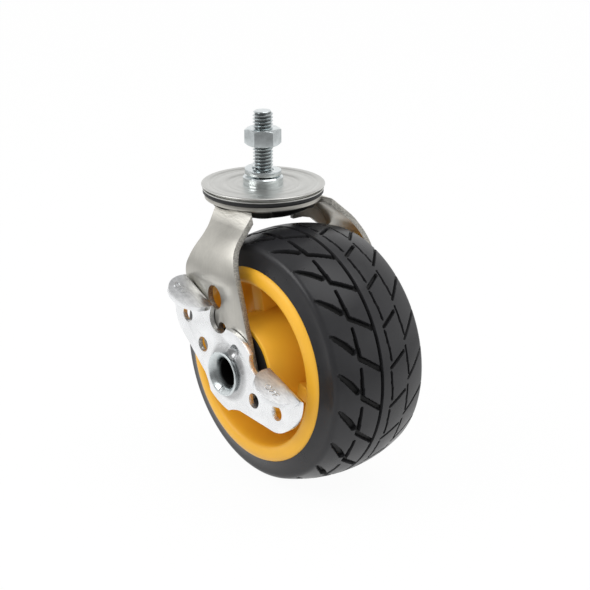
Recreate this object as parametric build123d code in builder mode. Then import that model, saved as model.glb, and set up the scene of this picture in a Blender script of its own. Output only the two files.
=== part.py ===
"""Swivel castor with a threaded stem, a pressed fork and a rocking two-pedal brake lever.

Millimetres, +Z up along the swivel axis. The origin is on that axis at the seat, the top
face of the stem's collar. The wheel trails towards +X, its axle lies along Y, and the
brake lever is on the -Y side.
"""
import os
from math import acos, atan2, cos, hypot, radians, sin, tan

from build123d import *

os.makedirs("parts", exist_ok=True)

# Clearances
running_gap = 0.3
shaft_clearance = 0.08
ball_play = 0.05

# Stem, collar and fasteners
stem_radius = 6.0
stem_top = 39.1
stem_chamfer = 1.2
thread_depth = 0.57
collar_radius = 12.0
collar_height = 5.4
collar_edge = 0.8
shank_radius = 7.0
rivet_radius = 10.5
rivet_height = 2.5
nut_across_flats = 19.0
nut_height = 10.0
nut_bottom = 18.7
nut_turn = 24.6
washer_inner_radius = 6.4
washer_outer_radius = 10.9
washer_thickness = 2.8
washer_rise = 2.0
washer_wrap = 350.0

# Top plate, shield and seal
plate_radius = 37.0
plate_sheet = 3.0
plate_rim_thickness = 1.3
plate_rim_rise = 1.2
plate_step_rise = 0.4
plate_inner_step_radius = 23.0
plate_outer_step_radius = 32.0
plate_step_run = 1.0
plate_hub_radius = 30.0
plate_ledge_radius = 34.0
plate_ledge_drop = 1.35
race_depth = 1.0
shield_radius = 36.2
shield_thickness = 0.7
seal_radius = 36.0
seal_height = 2.55
seal_inner_gap = 0.3

# Swivel bearing
upper_ball_radius = 4.5
upper_ball_circle = 23.0
upper_ball_count = 14
lower_ball_radius = 3.0
lower_ball_circle = 11.0
lower_ball_count = 10
lower_race_radius = 14.2
lower_race_thickness = 2.75
lower_race_depth = 0.8

# Fork
fork_sheet = 3.5
crown_rim_radius = 35.0
crown_rim_height = 2.2
crown_bowl_radius = 31.3
crown_floor_round = 3.0
crown_centre_rise = 4.8
tab_top = -13.3
tab_half_width = 29.85
leg_splay = 47.4
leg_outer_y = 52.0
leg_upper_bend = 6.0
leg_lower_bend = 32.0
leg_foot_radius = 20.3
leg_axis_angle = 112.4
large_hole_distance = 43.8
large_hole_length = 14.5
large_hole_width = 12.2
small_hole_distance = 25.2
small_hole_radius = 3.75

# Axle
trail = 36.5
axle_drop = 100.55
axle_radius = 10.0
axle_bore_radius = 8.6
flare_radius = 13.0
flare_depth = 1.9

# Wheel
tyre_radius = 76.0
tyre_half_width = 33.6
tyre_shoulder_radius = 69.6
tyre_shoulder_round = 2.2
tyre_bed_radius = 57.3
hub_shoulder = 2.5
rim_lip_radius = 58.8
rim_half_width = 36.7
rim_lip_inner_radius = 49.3
rim_lip_crest = 39.2
rim_wall_foot_radius = 46.0
web_half_thickness = 6.0
hub_half_width = 46.0
hub_radius = 28.0
hub_foot_radius = 33.0
dish_round = 4.0
rib_count = 3
rib_width = 9.0
rib_half_height = 27.0
rib_first_angle = 103.0

# Wheel bearings
bearing_radius = 23.5
bearing_width = 14.0
bearing_recess = 1.2
inner_race_radius = 14.4
outer_race_radius = 19.4
bearing_ball_radius = 3.6
bearing_ball_count = 8
bearing_seal_thickness = 0.9
bearing_seal_inset = 0.5
dust_cap_radius = 25.5
dust_cap_inner_radius = 16.6
dust_cap_thickness = 2.0
spacer_radius = 12.6
friction_washer_radius = 15.8

# Brake lever
lever_sheet = 3.0
lever_gap = 0.5
lever_tilt = 66.7
lever_crown_radius = 26.0
lever_crown_half = 12.0
notch_radius = 8.0
notch_depth = 15.5
pedal_start = 28.6
pedal_end = 58.5
pedal_level = 27.5
pedal_reach = 17.2
wing_reach = 61.2
lever_foot = 23.0
collar_draw = 1.8
collar_draw_radius = 13.8
collar_foot_radius = 17.0
wing_hole_radius = 3.9
wing_hole_inner = 26.0
wing_hole_outer = 45.5
wing_hole_outer_level = 8.0

# Levels worked out from the sizes above
plate_top = -collar_height
plate_bottom = plate_top - plate_sheet
plate_rim_top = plate_top + plate_rim_rise
shield_top = plate_top - plate_ledge_drop
seal_top = shield_top - shield_thickness
seal_bottom = seal_top - seal_height
crown_top = seal_bottom - running_gap
upper_ball_level = plate_bottom + race_depth - ball_play - upper_ball_radius
bowl_floor = upper_ball_level - upper_ball_radius - running_gap + race_depth
bowl_bottom = bowl_floor - fork_sheet
centre_top = bowl_floor + crown_centre_rise
centre_bottom = centre_top - fork_sheet
lower_ball_level = centre_bottom + lower_race_depth - running_gap - lower_ball_radius
lower_race_top = lower_ball_level - lower_ball_radius - ball_play + lower_race_depth
lower_race_bottom = lower_race_top - lower_race_thickness
leg_inner_y = leg_outer_y - fork_sheet
splay_run = (leg_outer_y - tab_half_width) / tan(radians(leg_splay))
lever_inner_y = -(leg_outer_y + lever_gap)
lever_outer_y = lever_inner_y - lever_sheet
collar_face_y = lever_outer_y - collar_draw
bearing_outer_face = hub_half_width - bearing_recess
bearing_inner_face = bearing_outer_face - bearing_width
bearing_middle = (bearing_outer_face + bearing_inner_face) / 2
bearing_ball_circle = (inner_race_radius + outer_race_radius) / 2
axle_centre = Vector(trail, 0, -axle_drop)
axle_axis = Axis((trail, 0, -axle_drop), (0, 1, 0))

# A section for a piece that is round about the axle: local x is the radius, pointing up
# from the axle, and local y runs along the axle towards +Y.
axle_section = Plane(origin=(trail, 0, -axle_drop), x_dir=(0, 0, 1), z_dir=(-1, 0, 0))


def ring_of_balls(circle, level, ball_radius, count):
    """Balls spaced evenly on a circle about the swivel axis."""
    with BuildPart() as balls:
        with Locations((0, 0, level)):
            with PolarLocations(circle, count):
                Sphere(ball_radius)
    return balls


# Stem: turned bar with a collar, a plain shank through the head and a riveted end
nut_top = nut_bottom + nut_height
nut_bore = stem_radius - thread_depth
with BuildPart() as stem:
    with BuildSketch(Plane.XZ):
        with BuildLine():
            Polyline(
                (0, lower_race_bottom - rivet_height),
                (rivet_radius - rivet_height / 2, lower_race_bottom - rivet_height),
                (rivet_radius, lower_race_bottom - rivet_height / 2),
                (rivet_radius, lower_race_bottom),
                (shank_radius, lower_race_bottom),
                (shank_radius, plate_top),
                (collar_radius, plate_top),
                (collar_radius, -collar_edge),
                (collar_radius - collar_edge, 0),
                (stem_radius, 0),
                (stem_radius, nut_bottom),
                (nut_bore, nut_bottom),
                (nut_bore, nut_top),
                (stem_radius, nut_top),
                (stem_radius, stem_top - stem_chamfer),
                (stem_radius - stem_chamfer, stem_top),
                (0, stem_top),
                close=True,
            )
        make_face()
    revolve(axis=Axis.Z)
stem.part.label = "stem"
export_step(stem.part, "parts/stem.step")

# Hexagon nut: its corners are turned off by a cone at both ends
nut_corner_radius = nut_across_flats / 2 / cos(radians(30))
nut_face_radius = nut_across_flats / 2 - 0.3
nut_cone_drop = (nut_corner_radius - nut_face_radius) * tan(radians(30))
with BuildPart() as hex_nut:
    with BuildSketch(Plane.XY.offset(nut_bottom)):
        RegularPolygon(nut_across_flats / 2, 6, major_radius=False, rotation=nut_turn)
    extrude(amount=nut_height)
    with BuildSketch(Plane.XZ) as nut_turning:
        with BuildLine():
            Polyline(
                (0, nut_bottom),
                (nut_face_radius, nut_bottom),
                (nut_corner_radius, nut_bottom + nut_cone_drop),
                (nut_corner_radius, nut_top - nut_cone_drop),
                (nut_face_radius, nut_top),
                (0, nut_top),
                close=True,
            )
        make_face()
    revolve(axis=Axis.Z, mode=Mode.INTERSECT)
    with BuildSketch(Plane.XY.offset(nut_bottom)):
        Circle(nut_bore)
    extrude(amount=nut_height, mode=Mode.SUBTRACT)
hex_nut.part.label = "hex_nut"
export_step(hex_nut.part, "parts/hex_nut.step")

# Spring washer: one turn of square wire, its cut ends a little out of line
washer_middle = (washer_inner_radius + washer_outer_radius) / 2
washer_pitch = washer_rise * 360 / washer_wrap
with BuildPart() as spring_washer:
    with BuildLine():
        washer_path = Helix(washer_pitch, washer_rise, washer_middle, center=(0, 0, washer_thickness / 2))
    with BuildSketch(Plane(origin=washer_path @ 0, x_dir=(1, 0, 0), z_dir=washer_path % 0)):
        Rectangle(washer_outer_radius - washer_inner_radius, washer_thickness)
    sweep(is_frenet=True)
spring_washer.part.label = "spring_washer"
export_step(spring_washer.part, "parts/spring_washer.step")

# Top plate: pressed disc with two shallow steps, a thin rim, a ledge for the seal and a ball race
with BuildPart() as top_plate:
    with BuildSketch(Plane.XZ):
        with BuildLine():
            Polyline(
                (shank_radius, plate_bottom),
                (shank_radius, plate_top),
                (plate_inner_step_radius - plate_step_run, plate_top),
                (plate_inner_step_radius, plate_top + plate_step_rise),
                (plate_outer_step_radius, plate_top + plate_step_rise),
                (plate_outer_step_radius + plate_step_run, plate_rim_top - plate_rim_thickness / 8),
                (plate_radius - plate_rim_thickness / 2, plate_rim_top),
                (plate_radius, plate_rim_top - plate_rim_thickness / 2),
                (plate_radius - plate_rim_thickness / 3, plate_rim_top - plate_rim_thickness),
                (plate_ledge_radius, plate_rim_top - plate_rim_thickness),
                (plate_ledge_radius, shield_top),
                (plate_hub_radius, shield_top),
                (plate_hub_radius, plate_bottom),
                close=True,
            )
        make_face()
        with Locations((upper_ball_circle, upper_ball_level)):
            Circle(upper_ball_radius + ball_play, mode=Mode.SUBTRACT)
    revolve(axis=Axis.Z)
top_plate.part.label = "top_plate"
export_step(top_plate.part, "parts/top_plate.step")

# Dust shield: thin steel ring under the plate's ledge
with BuildPart() as dust_shield:
    with BuildSketch(Plane.XY.offset(seal_top)):
        Circle(shield_radius)
        Circle(plate_hub_radius + seal_inner_gap, mode=Mode.SUBTRACT)
    extrude(amount=shield_thickness)
dust_shield.part.label = "dust_shield"
export_step(dust_shield.part, "parts/dust_shield.step")

# Dust seal: rubber ring with a rounded outer lip
with BuildPart() as dust_seal:
    with BuildSketch(Plane.XY.offset(seal_bottom)):
        Circle(seal_radius)
        Circle(plate_hub_radius + seal_inner_gap, mode=Mode.SUBTRACT)
    extrude(amount=seal_height)
    chamfer(dust_seal.edges().filter_by(GeomType.CIRCLE).group_by(SortBy.RADIUS)[-1], seal_height / 5)
dust_seal.part.label = "dust_seal"
export_step(dust_seal.part, "parts/dust_seal.step")

# Upper and lower balls of the swivel bearing
upper_balls = ring_of_balls(upper_ball_circle, upper_ball_level, upper_ball_radius, upper_ball_count)
upper_balls.part.label = "upper_balls"
export_step(upper_balls.part, "parts/upper_balls.step")

lower_balls = ring_of_balls(lower_ball_circle, lower_ball_level, lower_ball_radius, lower_ball_count)
lower_balls.part.label = "lower_balls"
export_step(lower_balls.part, "parts/lower_balls.step")

# Lower race: hardened ring held by the stem's riveted end
with BuildPart() as lower_race:
    with BuildSketch(Plane.XZ):
        with BuildLine():
            Polyline(
                (shank_radius, lower_race_bottom),
                (shank_radius, lower_race_top),
                (lower_race_radius, lower_race_top),
                (lower_race_radius, lower_race_bottom),
                close=True,
            )
        make_face()
        with Locations((lower_ball_circle, lower_ball_level)):
            Circle(lower_ball_radius + ball_play, mode=Mode.SUBTRACT)
    revolve(axis=Axis.Z)
lower_race.part.label = "lower_race"
export_step(lower_race.part, "parts/lower_race.step")


def tangent_point(x, z, radius, side):
    """Where a line from (x, z) touches a circle about the axle, on its side +1 or -1."""
    away = hypot(x - trail, z + axle_drop)
    towards = atan2(z + axle_drop, x - trail)
    turn = side * acos(radius / away)
    return (trail + radius * cos(towards + turn), -axle_drop + radius * sin(towards + turn))


# Fork: one pressed sheet, a crown bowl with a race in it and two splayed legs
leg_front = [(26.5, tab_top + 2), (32.3, -31.0), (41.0, -47.0)]
leg_rear = [(-9.5, -50.5), (1.4, -26.0), (-8.0, tab_top + 2)]
front_foot = tangent_point(*leg_front[-1], leg_foot_radius, -1)
rear_foot = tangent_point(*leg_rear[0], leg_foot_radius, 1)
leg_axis = Vector(cos(radians(leg_axis_angle)), 0, sin(radians(leg_axis_angle)))
large_hole_centre = axle_centre + leg_axis * large_hole_distance
small_hole_centre = axle_centre + leg_axis * small_hole_distance
with BuildPart() as fork:
    with BuildSketch(Plane.YZ):
        with BuildLine() as leg_side:
            FilletPolyline(
                (-leg_outer_y, -axle_drop - leg_foot_radius - 1),
                (-leg_outer_y, tab_top - splay_run),
                (-tab_half_width, tab_top),
                (tab_half_width, tab_top),
                (leg_outer_y, tab_top - splay_run),
                (leg_outer_y, -axle_drop - leg_foot_radius - 1),
                radius=(leg_lower_bend, leg_upper_bend, leg_upper_bend, leg_lower_bend),
            )
            offset(amount=fork_sheet, side=Side.RIGHT)
        make_face()
    extrude(amount=trail + leg_foot_radius + 2, both=True)
    with BuildSketch(Plane.XZ):
        with BuildLine():
            front_edge = FilletPolyline(*leg_front, front_foot, radius=(14, 60))
            rear_edge = FilletPolyline(rear_foot, *leg_rear, radius=(14, 9))
            ThreePointArc(
                front_foot,
                (trail - leg_foot_radius * leg_axis.X, -axle_drop - leg_foot_radius * leg_axis.Z),
                rear_foot,
            )
            Line(rear_edge @ 1, front_edge @ 0)
        make_face()
    extrude(amount=leg_outer_y + 1, both=True, mode=Mode.INTERSECT)
    with BuildSketch(Plane.XZ):
        with BuildLine():
            Polyline(
                (shank_radius + running_gap, centre_bottom),
                (lower_race_radius + 0.5, centre_bottom),
                (lower_race_radius + 0.5, bowl_bottom),
                (crown_bowl_radius - crown_floor_round, bowl_bottom),
                (crown_bowl_radius, bowl_bottom + crown_floor_round),
                (crown_bowl_radius, crown_top - crown_rim_height - 1.1),
                (crown_rim_radius, crown_top - crown_rim_height),
                (crown_rim_radius, crown_top),
                (shank_radius + running_gap, crown_top),
                close=True,
            )
        make_face()
    revolve(axis=Axis.Z)
    with BuildSketch(Plane.XZ):
        with BuildLine():
            Polyline(
                (0, centre_top),
                (lower_race_radius + 0.5 + fork_sheet, centre_top),
                (lower_race_radius + 0.5 + fork_sheet, bowl_floor),
                (crown_bowl_radius - fork_sheet, bowl_floor),
                (crown_bowl_radius - fork_sheet, crown_top - crown_rim_height),
                (crown_rim_radius - fork_sheet, crown_top),
                (crown_rim_radius - fork_sheet, crown_top + 1),
                (0, crown_top + 1),
                close=True,
            )
        make_face()
        with Locations((upper_ball_circle, upper_ball_level)):
            Circle(upper_ball_radius + running_gap)
    revolve(axis=Axis.Z, mode=Mode.SUBTRACT)
    with BuildSketch(Plane.XZ):
        with Locations((lower_ball_circle, lower_ball_level)):
            Circle(lower_ball_radius + running_gap)
    revolve(axis=Axis.Z, mode=Mode.SUBTRACT)
    with BuildSketch(Plane.XY.offset(bowl_bottom - 1)):
        Circle(shank_radius + running_gap)
    extrude(amount=crown_top - bowl_bottom + 2, mode=Mode.SUBTRACT)
    with BuildSketch(Plane.XZ):
        with Locations((trail, -axle_drop)):
            Circle(axle_radius)
        with Locations((large_hole_centre.X, large_hole_centre.Z)):
            Ellipse(large_hole_length / 2, large_hole_width / 2, rotation=leg_axis_angle)
        with Locations((small_hole_centre.X, small_hole_centre.Z)):
            Circle(small_hole_radius)
    extrude(amount=leg_outer_y + 1, both=True, mode=Mode.SUBTRACT)
fork.part.label = "fork"
export_step(fork.part, "parts/fork.step")

# Axle: tube through both legs, its ends rolled over into flares
flare_rise = flare_depth / 2
with BuildPart() as axle_tube:
    with BuildSketch(axle_section):
        with BuildLine():
            near_under = collar_face_y - running_gap
            near_end = near_under - flare_depth
            far_under = leg_outer_y
            far_end = far_under + flare_depth
            Line((axle_radius, far_under), (axle_radius, near_under))
            ThreePointArc(
                (axle_radius, near_under),
                (axle_radius + 0.35 * (flare_radius - axle_radius), near_under - flare_rise),
                (flare_radius, near_end + 0.5),
            )
            Line((flare_radius, near_end + 0.5), (flare_radius - 0.5, near_end))
            ThreePointArc(
                (flare_radius - 0.5, near_end),
                (axle_bore_radius + 0.9, near_end + 1.0),
                (axle_bore_radius, near_end + 3.6),
            )
            Line((axle_bore_radius, near_end + 3.6), (axle_bore_radius, far_end - 3.6))
            ThreePointArc(
                (axle_bore_radius, far_end - 3.6),
                (axle_bore_radius + 0.9, far_end - 1.0),
                (flare_radius - 0.5, far_end),
            )
            Line((flare_radius - 0.5, far_end), (flare_radius, far_end - 0.5))
            ThreePointArc(
                (flare_radius, far_end - 0.5),
                (axle_radius + 0.35 * (flare_radius - axle_radius), far_under + flare_rise),
                (axle_radius, far_under),
            )
        make_face()
    revolve(axis=axle_axis)
axle_tube.part.label = "axle_tube"
export_step(axle_tube.part, "parts/axle_tube.step")


def axle_ring(inner_radius, outer_radius, start, end):
    """A plain ring about the axle between two places along Y."""
    with BuildPart() as ring:
        with BuildSketch(axle_section):
            with BuildLine():
                Polyline(
                    (inner_radius, start),
                    (outer_radius, start),
                    (outer_radius, end),
                    (inner_radius, end),
                    close=True,
                )
            make_face()
        revolve(axis=axle_axis)
    return ring


def bearing_ring(inner_radius, outer_radius, side, play):
    """A bearing race about the axle, with its ball groove, on side +1 or -1."""
    with BuildPart() as ring:
        with BuildSketch(axle_section):
            with BuildLine():
                Polyline(
                    (inner_radius, side * bearing_inner_face),
                    (outer_radius, side * bearing_inner_face),
                    (outer_radius, side * bearing_outer_face),
                    (inner_radius, side * bearing_outer_face),
                    close=True,
                )
            make_face()
            with Locations((bearing_ball_circle, side * bearing_middle)):
                Circle(bearing_ball_radius + play, mode=Mode.SUBTRACT)
        revolve(axis=axle_axis)
    return ring


bearing_spacer = axle_ring(axle_radius, spacer_radius, -bearing_inner_face, bearing_inner_face)
bearing_spacer.part.label = "bearing_spacer"
export_step(bearing_spacer.part, "parts/bearing_spacer.step")

for side, end_name in ((-1, "near"), (1, "far")):
    friction_washer = axle_ring(axle_radius, friction_washer_radius, side * bearing_outer_face, side * leg_inner_y)
    friction_washer.part.label = f"friction_washer_{end_name}"
    export_step(friction_washer.part, f"parts/friction_washer_{end_name}.step")

    inner_race = bearing_ring(axle_radius, inner_race_radius, side, running_gap)
    inner_race.part.label = f"bearing_inner_{end_name}"
    export_step(inner_race.part, f"parts/bearing_inner_{end_name}.step")

    outer_race = bearing_ring(outer_race_radius, bearing_radius, side, ball_play)
    outer_race.part.label = f"bearing_outer_{end_name}"
    export_step(outer_race.part, f"parts/bearing_outer_{end_name}.step")

    ball_plane = Plane(origin=(trail, side * bearing_middle, -axle_drop), x_dir=(1, 0, 0), z_dir=(0, 1, 0))
    with BuildPart(ball_plane) as bearing_balls:
        with PolarLocations(bearing_ball_circle, bearing_ball_count):
            Sphere(bearing_ball_radius)
    bearing_balls.part.label = f"bearing_balls_{end_name}"
    export_step(bearing_balls.part, f"parts/bearing_balls_{end_name}.step")

    seal_face = side * (bearing_outer_face - bearing_seal_inset)
    seal_back = seal_face - side * bearing_seal_thickness
    bearing_seal = axle_ring(inner_race_radius + running_gap, outer_race_radius, seal_face, seal_back)
    bearing_seal.part.label = f"bearing_seal_{end_name}"
    export_step(bearing_seal.part, f"parts/bearing_seal_{end_name}.step")

    cap_back = side * bearing_outer_face
    cap_face = cap_back + side * dust_cap_thickness
    dust_cap = axle_ring(dust_cap_inner_radius, dust_cap_radius, cap_back, cap_face)
    dust_cap.part.label = f"dust_cap_{end_name}"
    export_step(dust_cap.part, f"parts/dust_cap_{end_name}.step")

# Wheel: moulded rim with a deep dish and a bearing hub on each side
with BuildPart() as wheel_rim:
    with BuildSketch(axle_section) as rim_section:
        with BuildLine():
            Polyline(
                (bearing_radius - hub_shoulder, 0),
                (bearing_radius - hub_shoulder, bearing_inner_face),
                (bearing_radius, bearing_inner_face),
                (bearing_radius, bearing_outer_face),
                (dust_cap_radius, bearing_outer_face),
                (dust_cap_radius, hub_half_width),
                (hub_radius, hub_half_width),
                (hub_foot_radius, web_half_thickness),
                (rim_wall_foot_radius, web_half_thickness),
                (rim_lip_inner_radius - 1.2, rim_lip_crest - 2.5),
                (rim_lip_inner_radius, rim_lip_crest - 0.3),
                (rim_lip_inner_radius + 1.5, rim_lip_crest),
                (rim_lip_radius - 3.5, rim_lip_crest - 0.9),
                (rim_lip_radius, rim_half_width - 0.8),
                (rim_lip_radius, tyre_half_width),
                (tyre_bed_radius, tyre_half_width),
                (tyre_bed_radius, 0),
                close=True,
            )
        make_face()
        web_corners = rim_section.vertices().filter_by_position(
            Axis.Y, web_half_thickness - 0.01, web_half_thickness + 0.01
        )
        fillet(web_corners, dish_round)
        mirror(about=Plane.XZ)
    revolve(axis=axle_axis)
    with BuildSketch(Plane(origin=(trail, 0, -axle_drop), x_dir=(1, 0, 0), z_dir=(0, -1, 0))):
        rib_inner = bearing_radius + 1
        rib_outer = rim_lip_inner_radius + 1
        with Locations(Rotation(0, 0, rib_first_angle)):
            with PolarLocations((rib_inner + rib_outer) / 2, rib_count):
                Rectangle(rib_outer - rib_inner, rib_width)
    extrude(amount=rib_half_height, both=True)
wheel_rim.part.label = "wheel_rim"
export_step(wheel_rim.part, "parts/wheel_rim.step")

# Tyre: crowned rubber on the rim's bed, between its lips
with BuildPart() as tyre:
    with BuildSketch(axle_section) as tyre_section:
        with BuildLine():
            Line((tyre_bed_radius, -tyre_half_width), (tyre_shoulder_radius, -tyre_half_width))
            ThreePointArc(
                (tyre_shoulder_radius, -tyre_half_width),
                (tyre_radius, 0),
                (tyre_shoulder_radius, tyre_half_width),
            )
            Line((tyre_shoulder_radius, tyre_half_width), (tyre_bed_radius, tyre_half_width))
            Line((tyre_bed_radius, tyre_half_width), (tyre_bed_radius, -tyre_half_width))
        make_face()
        shoulders = tyre_section.vertices().filter_by_position(
            Axis.X, tyre_shoulder_radius - 0.01, tyre_shoulder_radius + 0.01
        )
        fillet(shoulders, tyre_shoulder_round)
    revolve(axis=axle_axis)
tyre.part.label = "tyre"
export_step(tyre.part, "parts/tyre.step")

# Brake lever: pressed plate that rocks about the axle, with a pedal folded out on each side.
# In its own plane, local x runs along the pedals and local y up its line of symmetry.
lever_up = Vector(cos(radians(lever_tilt)), 0, sin(radians(lever_tilt)))
lever_along = Vector(sin(radians(lever_tilt)), 0, -cos(radians(lever_tilt)))
lever_plane = Plane(origin=(trail, lever_inner_y, -axle_drop), x_dir=lever_along, z_dir=(0, -1, 0))
pedal_origin = Vector(trail, lever_inner_y, -axle_drop) + lever_up * pedal_level
pedal_plane = Plane(origin=pedal_origin, x_dir=lever_along, z_dir=-lever_up)
crown_corner = (lever_crown_half, (lever_crown_radius**2 - lever_crown_half**2) ** 0.5)
notch_centre = lever_crown_half + notch_radius
notch_level = notch_depth + notch_radius
with BuildPart() as brake_lever:
    with BuildSketch(lever_plane):
        with BuildLine():
            ThreePointArc((0, lever_crown_radius), (6.1, 25.27), crown_corner)
            ThreePointArc(
                crown_corner,
                (notch_centre, notch_depth),
                (notch_centre + notch_radius, notch_level),
            )
            Line((notch_centre + notch_radius, notch_level), (pedal_start, pedal_level))
            Line((pedal_start, pedal_level), (pedal_end, pedal_level))
            ThreePointArc((pedal_end, pedal_level), (wing_reach, 15.0), (56.5, 3.2))
            ThreePointArc((56.5, 3.2), (51.6, -2.5), (44.5, -5.9))
            Line((44.5, -5.9), (18.0, -14.8))
            ThreePointArc((18.0, -14.8), (13.4, -18.0), (9.5, -22.0))
            ThreePointArc((9.5, -22.0), (5.0, -22.8), (0, -lever_foot))
            Line((0, -lever_foot), (0, lever_crown_radius))
        make_face()
        mirror(about=Plane.YZ)
    extrude(amount=lever_sheet)
    for side in (-1, 1):
        with BuildSketch(pedal_plane):
            with BuildLine():
                Polyline(
                    (side * pedal_start, lever_sheet),
                    (side * pedal_start, 0),
                    (side * pedal_end, 0),
                    (side * pedal_end, lever_sheet),
                )
                ThreePointArc(
                    (side * pedal_end, lever_sheet),
                    (side * (pedal_start + pedal_end) / 2, lever_sheet + pedal_reach),
                    (side * pedal_start, lever_sheet),
                )
            make_face()
        extrude(amount=lever_sheet)
    with BuildSketch(axle_section):
        with BuildLine():
            Polyline(
                (axle_radius, lever_inner_y),
                (collar_foot_radius, lever_inner_y),
                (collar_foot_radius, lever_outer_y),
                (collar_draw_radius, collar_face_y),
                (axle_radius, collar_face_y),
                close=True,
            )
        make_face()
    revolve(axis=axle_axis)
    with BuildSketch(lever_plane.offset(-1)):
        Circle(axle_radius + shaft_clearance)
        for side in (-1, 1):
            with Locations(
                (side * wing_hole_inner, 0),
                (side * wing_hole_outer, wing_hole_outer_level),
            ):
                Circle(wing_hole_radius)
    extrude(amount=lever_sheet + collar_draw + 2, mode=Mode.SUBTRACT)
brake_lever.part.label = "brake_lever"
export_step(brake_lever.part, "parts/brake_lever.step")
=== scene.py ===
"""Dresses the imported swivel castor: steel head and fork, moulded wheel, treaded tyre and brake lever."""

from math import asin, ceil, cos, hypot, pi, radians, sin

import bmesh
import bpy
import numpy as np
from mathutils import Matrix, Vector


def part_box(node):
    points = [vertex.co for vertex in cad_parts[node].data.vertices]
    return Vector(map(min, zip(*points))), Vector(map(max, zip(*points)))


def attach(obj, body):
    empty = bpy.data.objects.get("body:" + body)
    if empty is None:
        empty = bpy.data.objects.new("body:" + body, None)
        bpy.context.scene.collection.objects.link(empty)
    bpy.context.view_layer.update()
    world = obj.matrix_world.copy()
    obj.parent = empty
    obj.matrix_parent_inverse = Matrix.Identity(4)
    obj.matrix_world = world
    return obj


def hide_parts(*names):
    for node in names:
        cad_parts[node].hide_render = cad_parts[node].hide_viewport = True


bl_info = {
    "name": "Swivel Castor",
    "version": (1, 0, 0),
    "blender": (4, 5, 0),
    "location": "View3D > Sidebar > Castor",
    "description": "Builds the visible pieces and finishes of a swivel castor around its packed CAD frame",
    "category": "Object",
}

MM = 0.001
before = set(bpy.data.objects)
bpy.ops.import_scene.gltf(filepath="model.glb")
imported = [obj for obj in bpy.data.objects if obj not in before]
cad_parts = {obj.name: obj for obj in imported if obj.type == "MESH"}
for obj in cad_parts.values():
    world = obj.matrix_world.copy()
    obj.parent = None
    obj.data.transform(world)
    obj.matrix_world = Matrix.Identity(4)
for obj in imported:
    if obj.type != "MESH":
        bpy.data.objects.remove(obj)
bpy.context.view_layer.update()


def middle(node):
    """The centre of a CAD node's box."""
    low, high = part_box(node)
    return (low + high) / 2


# Places and sizes read from the frame, in metres
TYRE_LOW, TYRE_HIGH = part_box("tyre")
STEM_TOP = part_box("stem")[1].z
LEVER_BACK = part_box("brake_lever")[1].y
AXLE = middle("tyre")
TYRE_RADIUS = (TYRE_HIGH.x - TYRE_LOW.x) / 2
TYRE_HALF_WIDTH = (TYRE_HIGH.y - TYRE_LOW.y) / 2
GROUND = TYRE_LOW.z

# Gaps within which points are merged: in a mesh made here, in a CAD mesh and between repeated copies
MADE_GAP = 1e-7
CAD_GAP = 1e-6
COPY_GAP = 2e-6
# Angles in degrees: shading stays sharp above the first four, edges are rounded above the fifth, and
# faces of a CAD mesh are joined below the last
SHARP_TURNED = 30
SHARP_PRESSED = 35
SHARP_RINGS = 40
SHARP_MOULDED = 50
EDGE_ANGLE = 30
FLAT_ANGLE = 0.6
# Ranges of a noise that become soft patches, and an even spread of values
PATCH_RANGE = (0.35, 0.65)
NOISE_RANGE = (0.3, 0.7)
# Distance by which cutters and tests reach past a face
EASE = 0.1 * MM


class CastorFinish(bpy.types.PropertyGroup):
    """Colours of the castor's finishes."""

    rim: bpy.props.FloatVectorProperty(
        name="Rim", description="Moulded rim", subtype="COLOR", size=3, default=(0.80, 0.42, 0.030)
    )
    tyre: bpy.props.FloatVectorProperty(
        name="Tyre", description="Tyre rubber", subtype="COLOR", size=3, default=(0.020, 0.020, 0.022)
    )
    fork: bpy.props.FloatVectorProperty(
        name="Fork", description="Satin plated fork", subtype="COLOR", size=3, default=(0.56, 0.545, 0.50)
    )
    plate: bpy.props.FloatVectorProperty(
        name="Plate", description="Satin plated top plate", subtype="COLOR", size=3,
        default=(0.68, 0.68, 0.655)
    )
    fastener: bpy.props.FloatVectorProperty(
        name="Fasteners", description="Bright zinc on stem, nut and washer", subtype="COLOR", size=3,
        default=(0.74, 0.79, 0.80)
    )
    lever: bpy.props.FloatVectorProperty(
        name="Lever", description="Bright zinc on the brake lever", subtype="COLOR", size=3,
        default=(0.90, 0.91, 0.92)
    )
    seal: bpy.props.FloatVectorProperty(
        name="Seals", description="Black rubber and plastic", subtype="COLOR", size=3,
        default=(0.012, 0.012, 0.013)
    )


class CastorSizes(bpy.types.PropertyGroup):
    """Sizes of the details that the frame leaves out."""

    thread_pitch: bpy.props.FloatProperty(
        name="Thread pitch", description="Advance of the stem's thread in one turn", unit="LENGTH",
        default=2.05 * MM
    )
    tread_count: bpy.props.IntProperty(
        name="Tread repeats", description="Repeats of the tread round the tyre", default=20, min=3
    )
    tread_depth: bpy.props.FloatProperty(
        name="Tread depth", description="Depth of the main grooves", unit="LENGTH", default=2.4 * MM
    )
    edge_round: bpy.props.FloatProperty(
        name="Edge rounding", description="Width of the rounded edges on pressed parts", unit="LENGTH",
        default=0.35 * MM
    )


class CastorStage(bpy.types.PropertyGroup):
    """Camera and light."""

    camera_place: bpy.props.FloatVectorProperty(
        name="Camera", description="Place of the camera", subtype="TRANSLATION", unit="LENGTH", size=3,
        default=(0.792153, -0.625288, 0.279369)
    )
    camera_target: bpy.props.FloatVectorProperty(
        name="Target", description="Point that the camera looks at", subtype="TRANSLATION", unit="LENGTH",
        size=3, default=(0.012010, 0.014641, -0.075568)
    )
    lens: bpy.props.FloatProperty(
        name="Lens", description="Focal length on a 36 mm sensor, in millimetres", default=107.423
    )
    key_power: bpy.props.FloatProperty(
        name="Key light", description="Power of the large light on the left", unit="POWER", default=5.0
    )
    fill_power: bpy.props.FloatProperty(
        name="Fill light", description="Power of the overhead light", unit="POWER", default=3.2
    )


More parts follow.
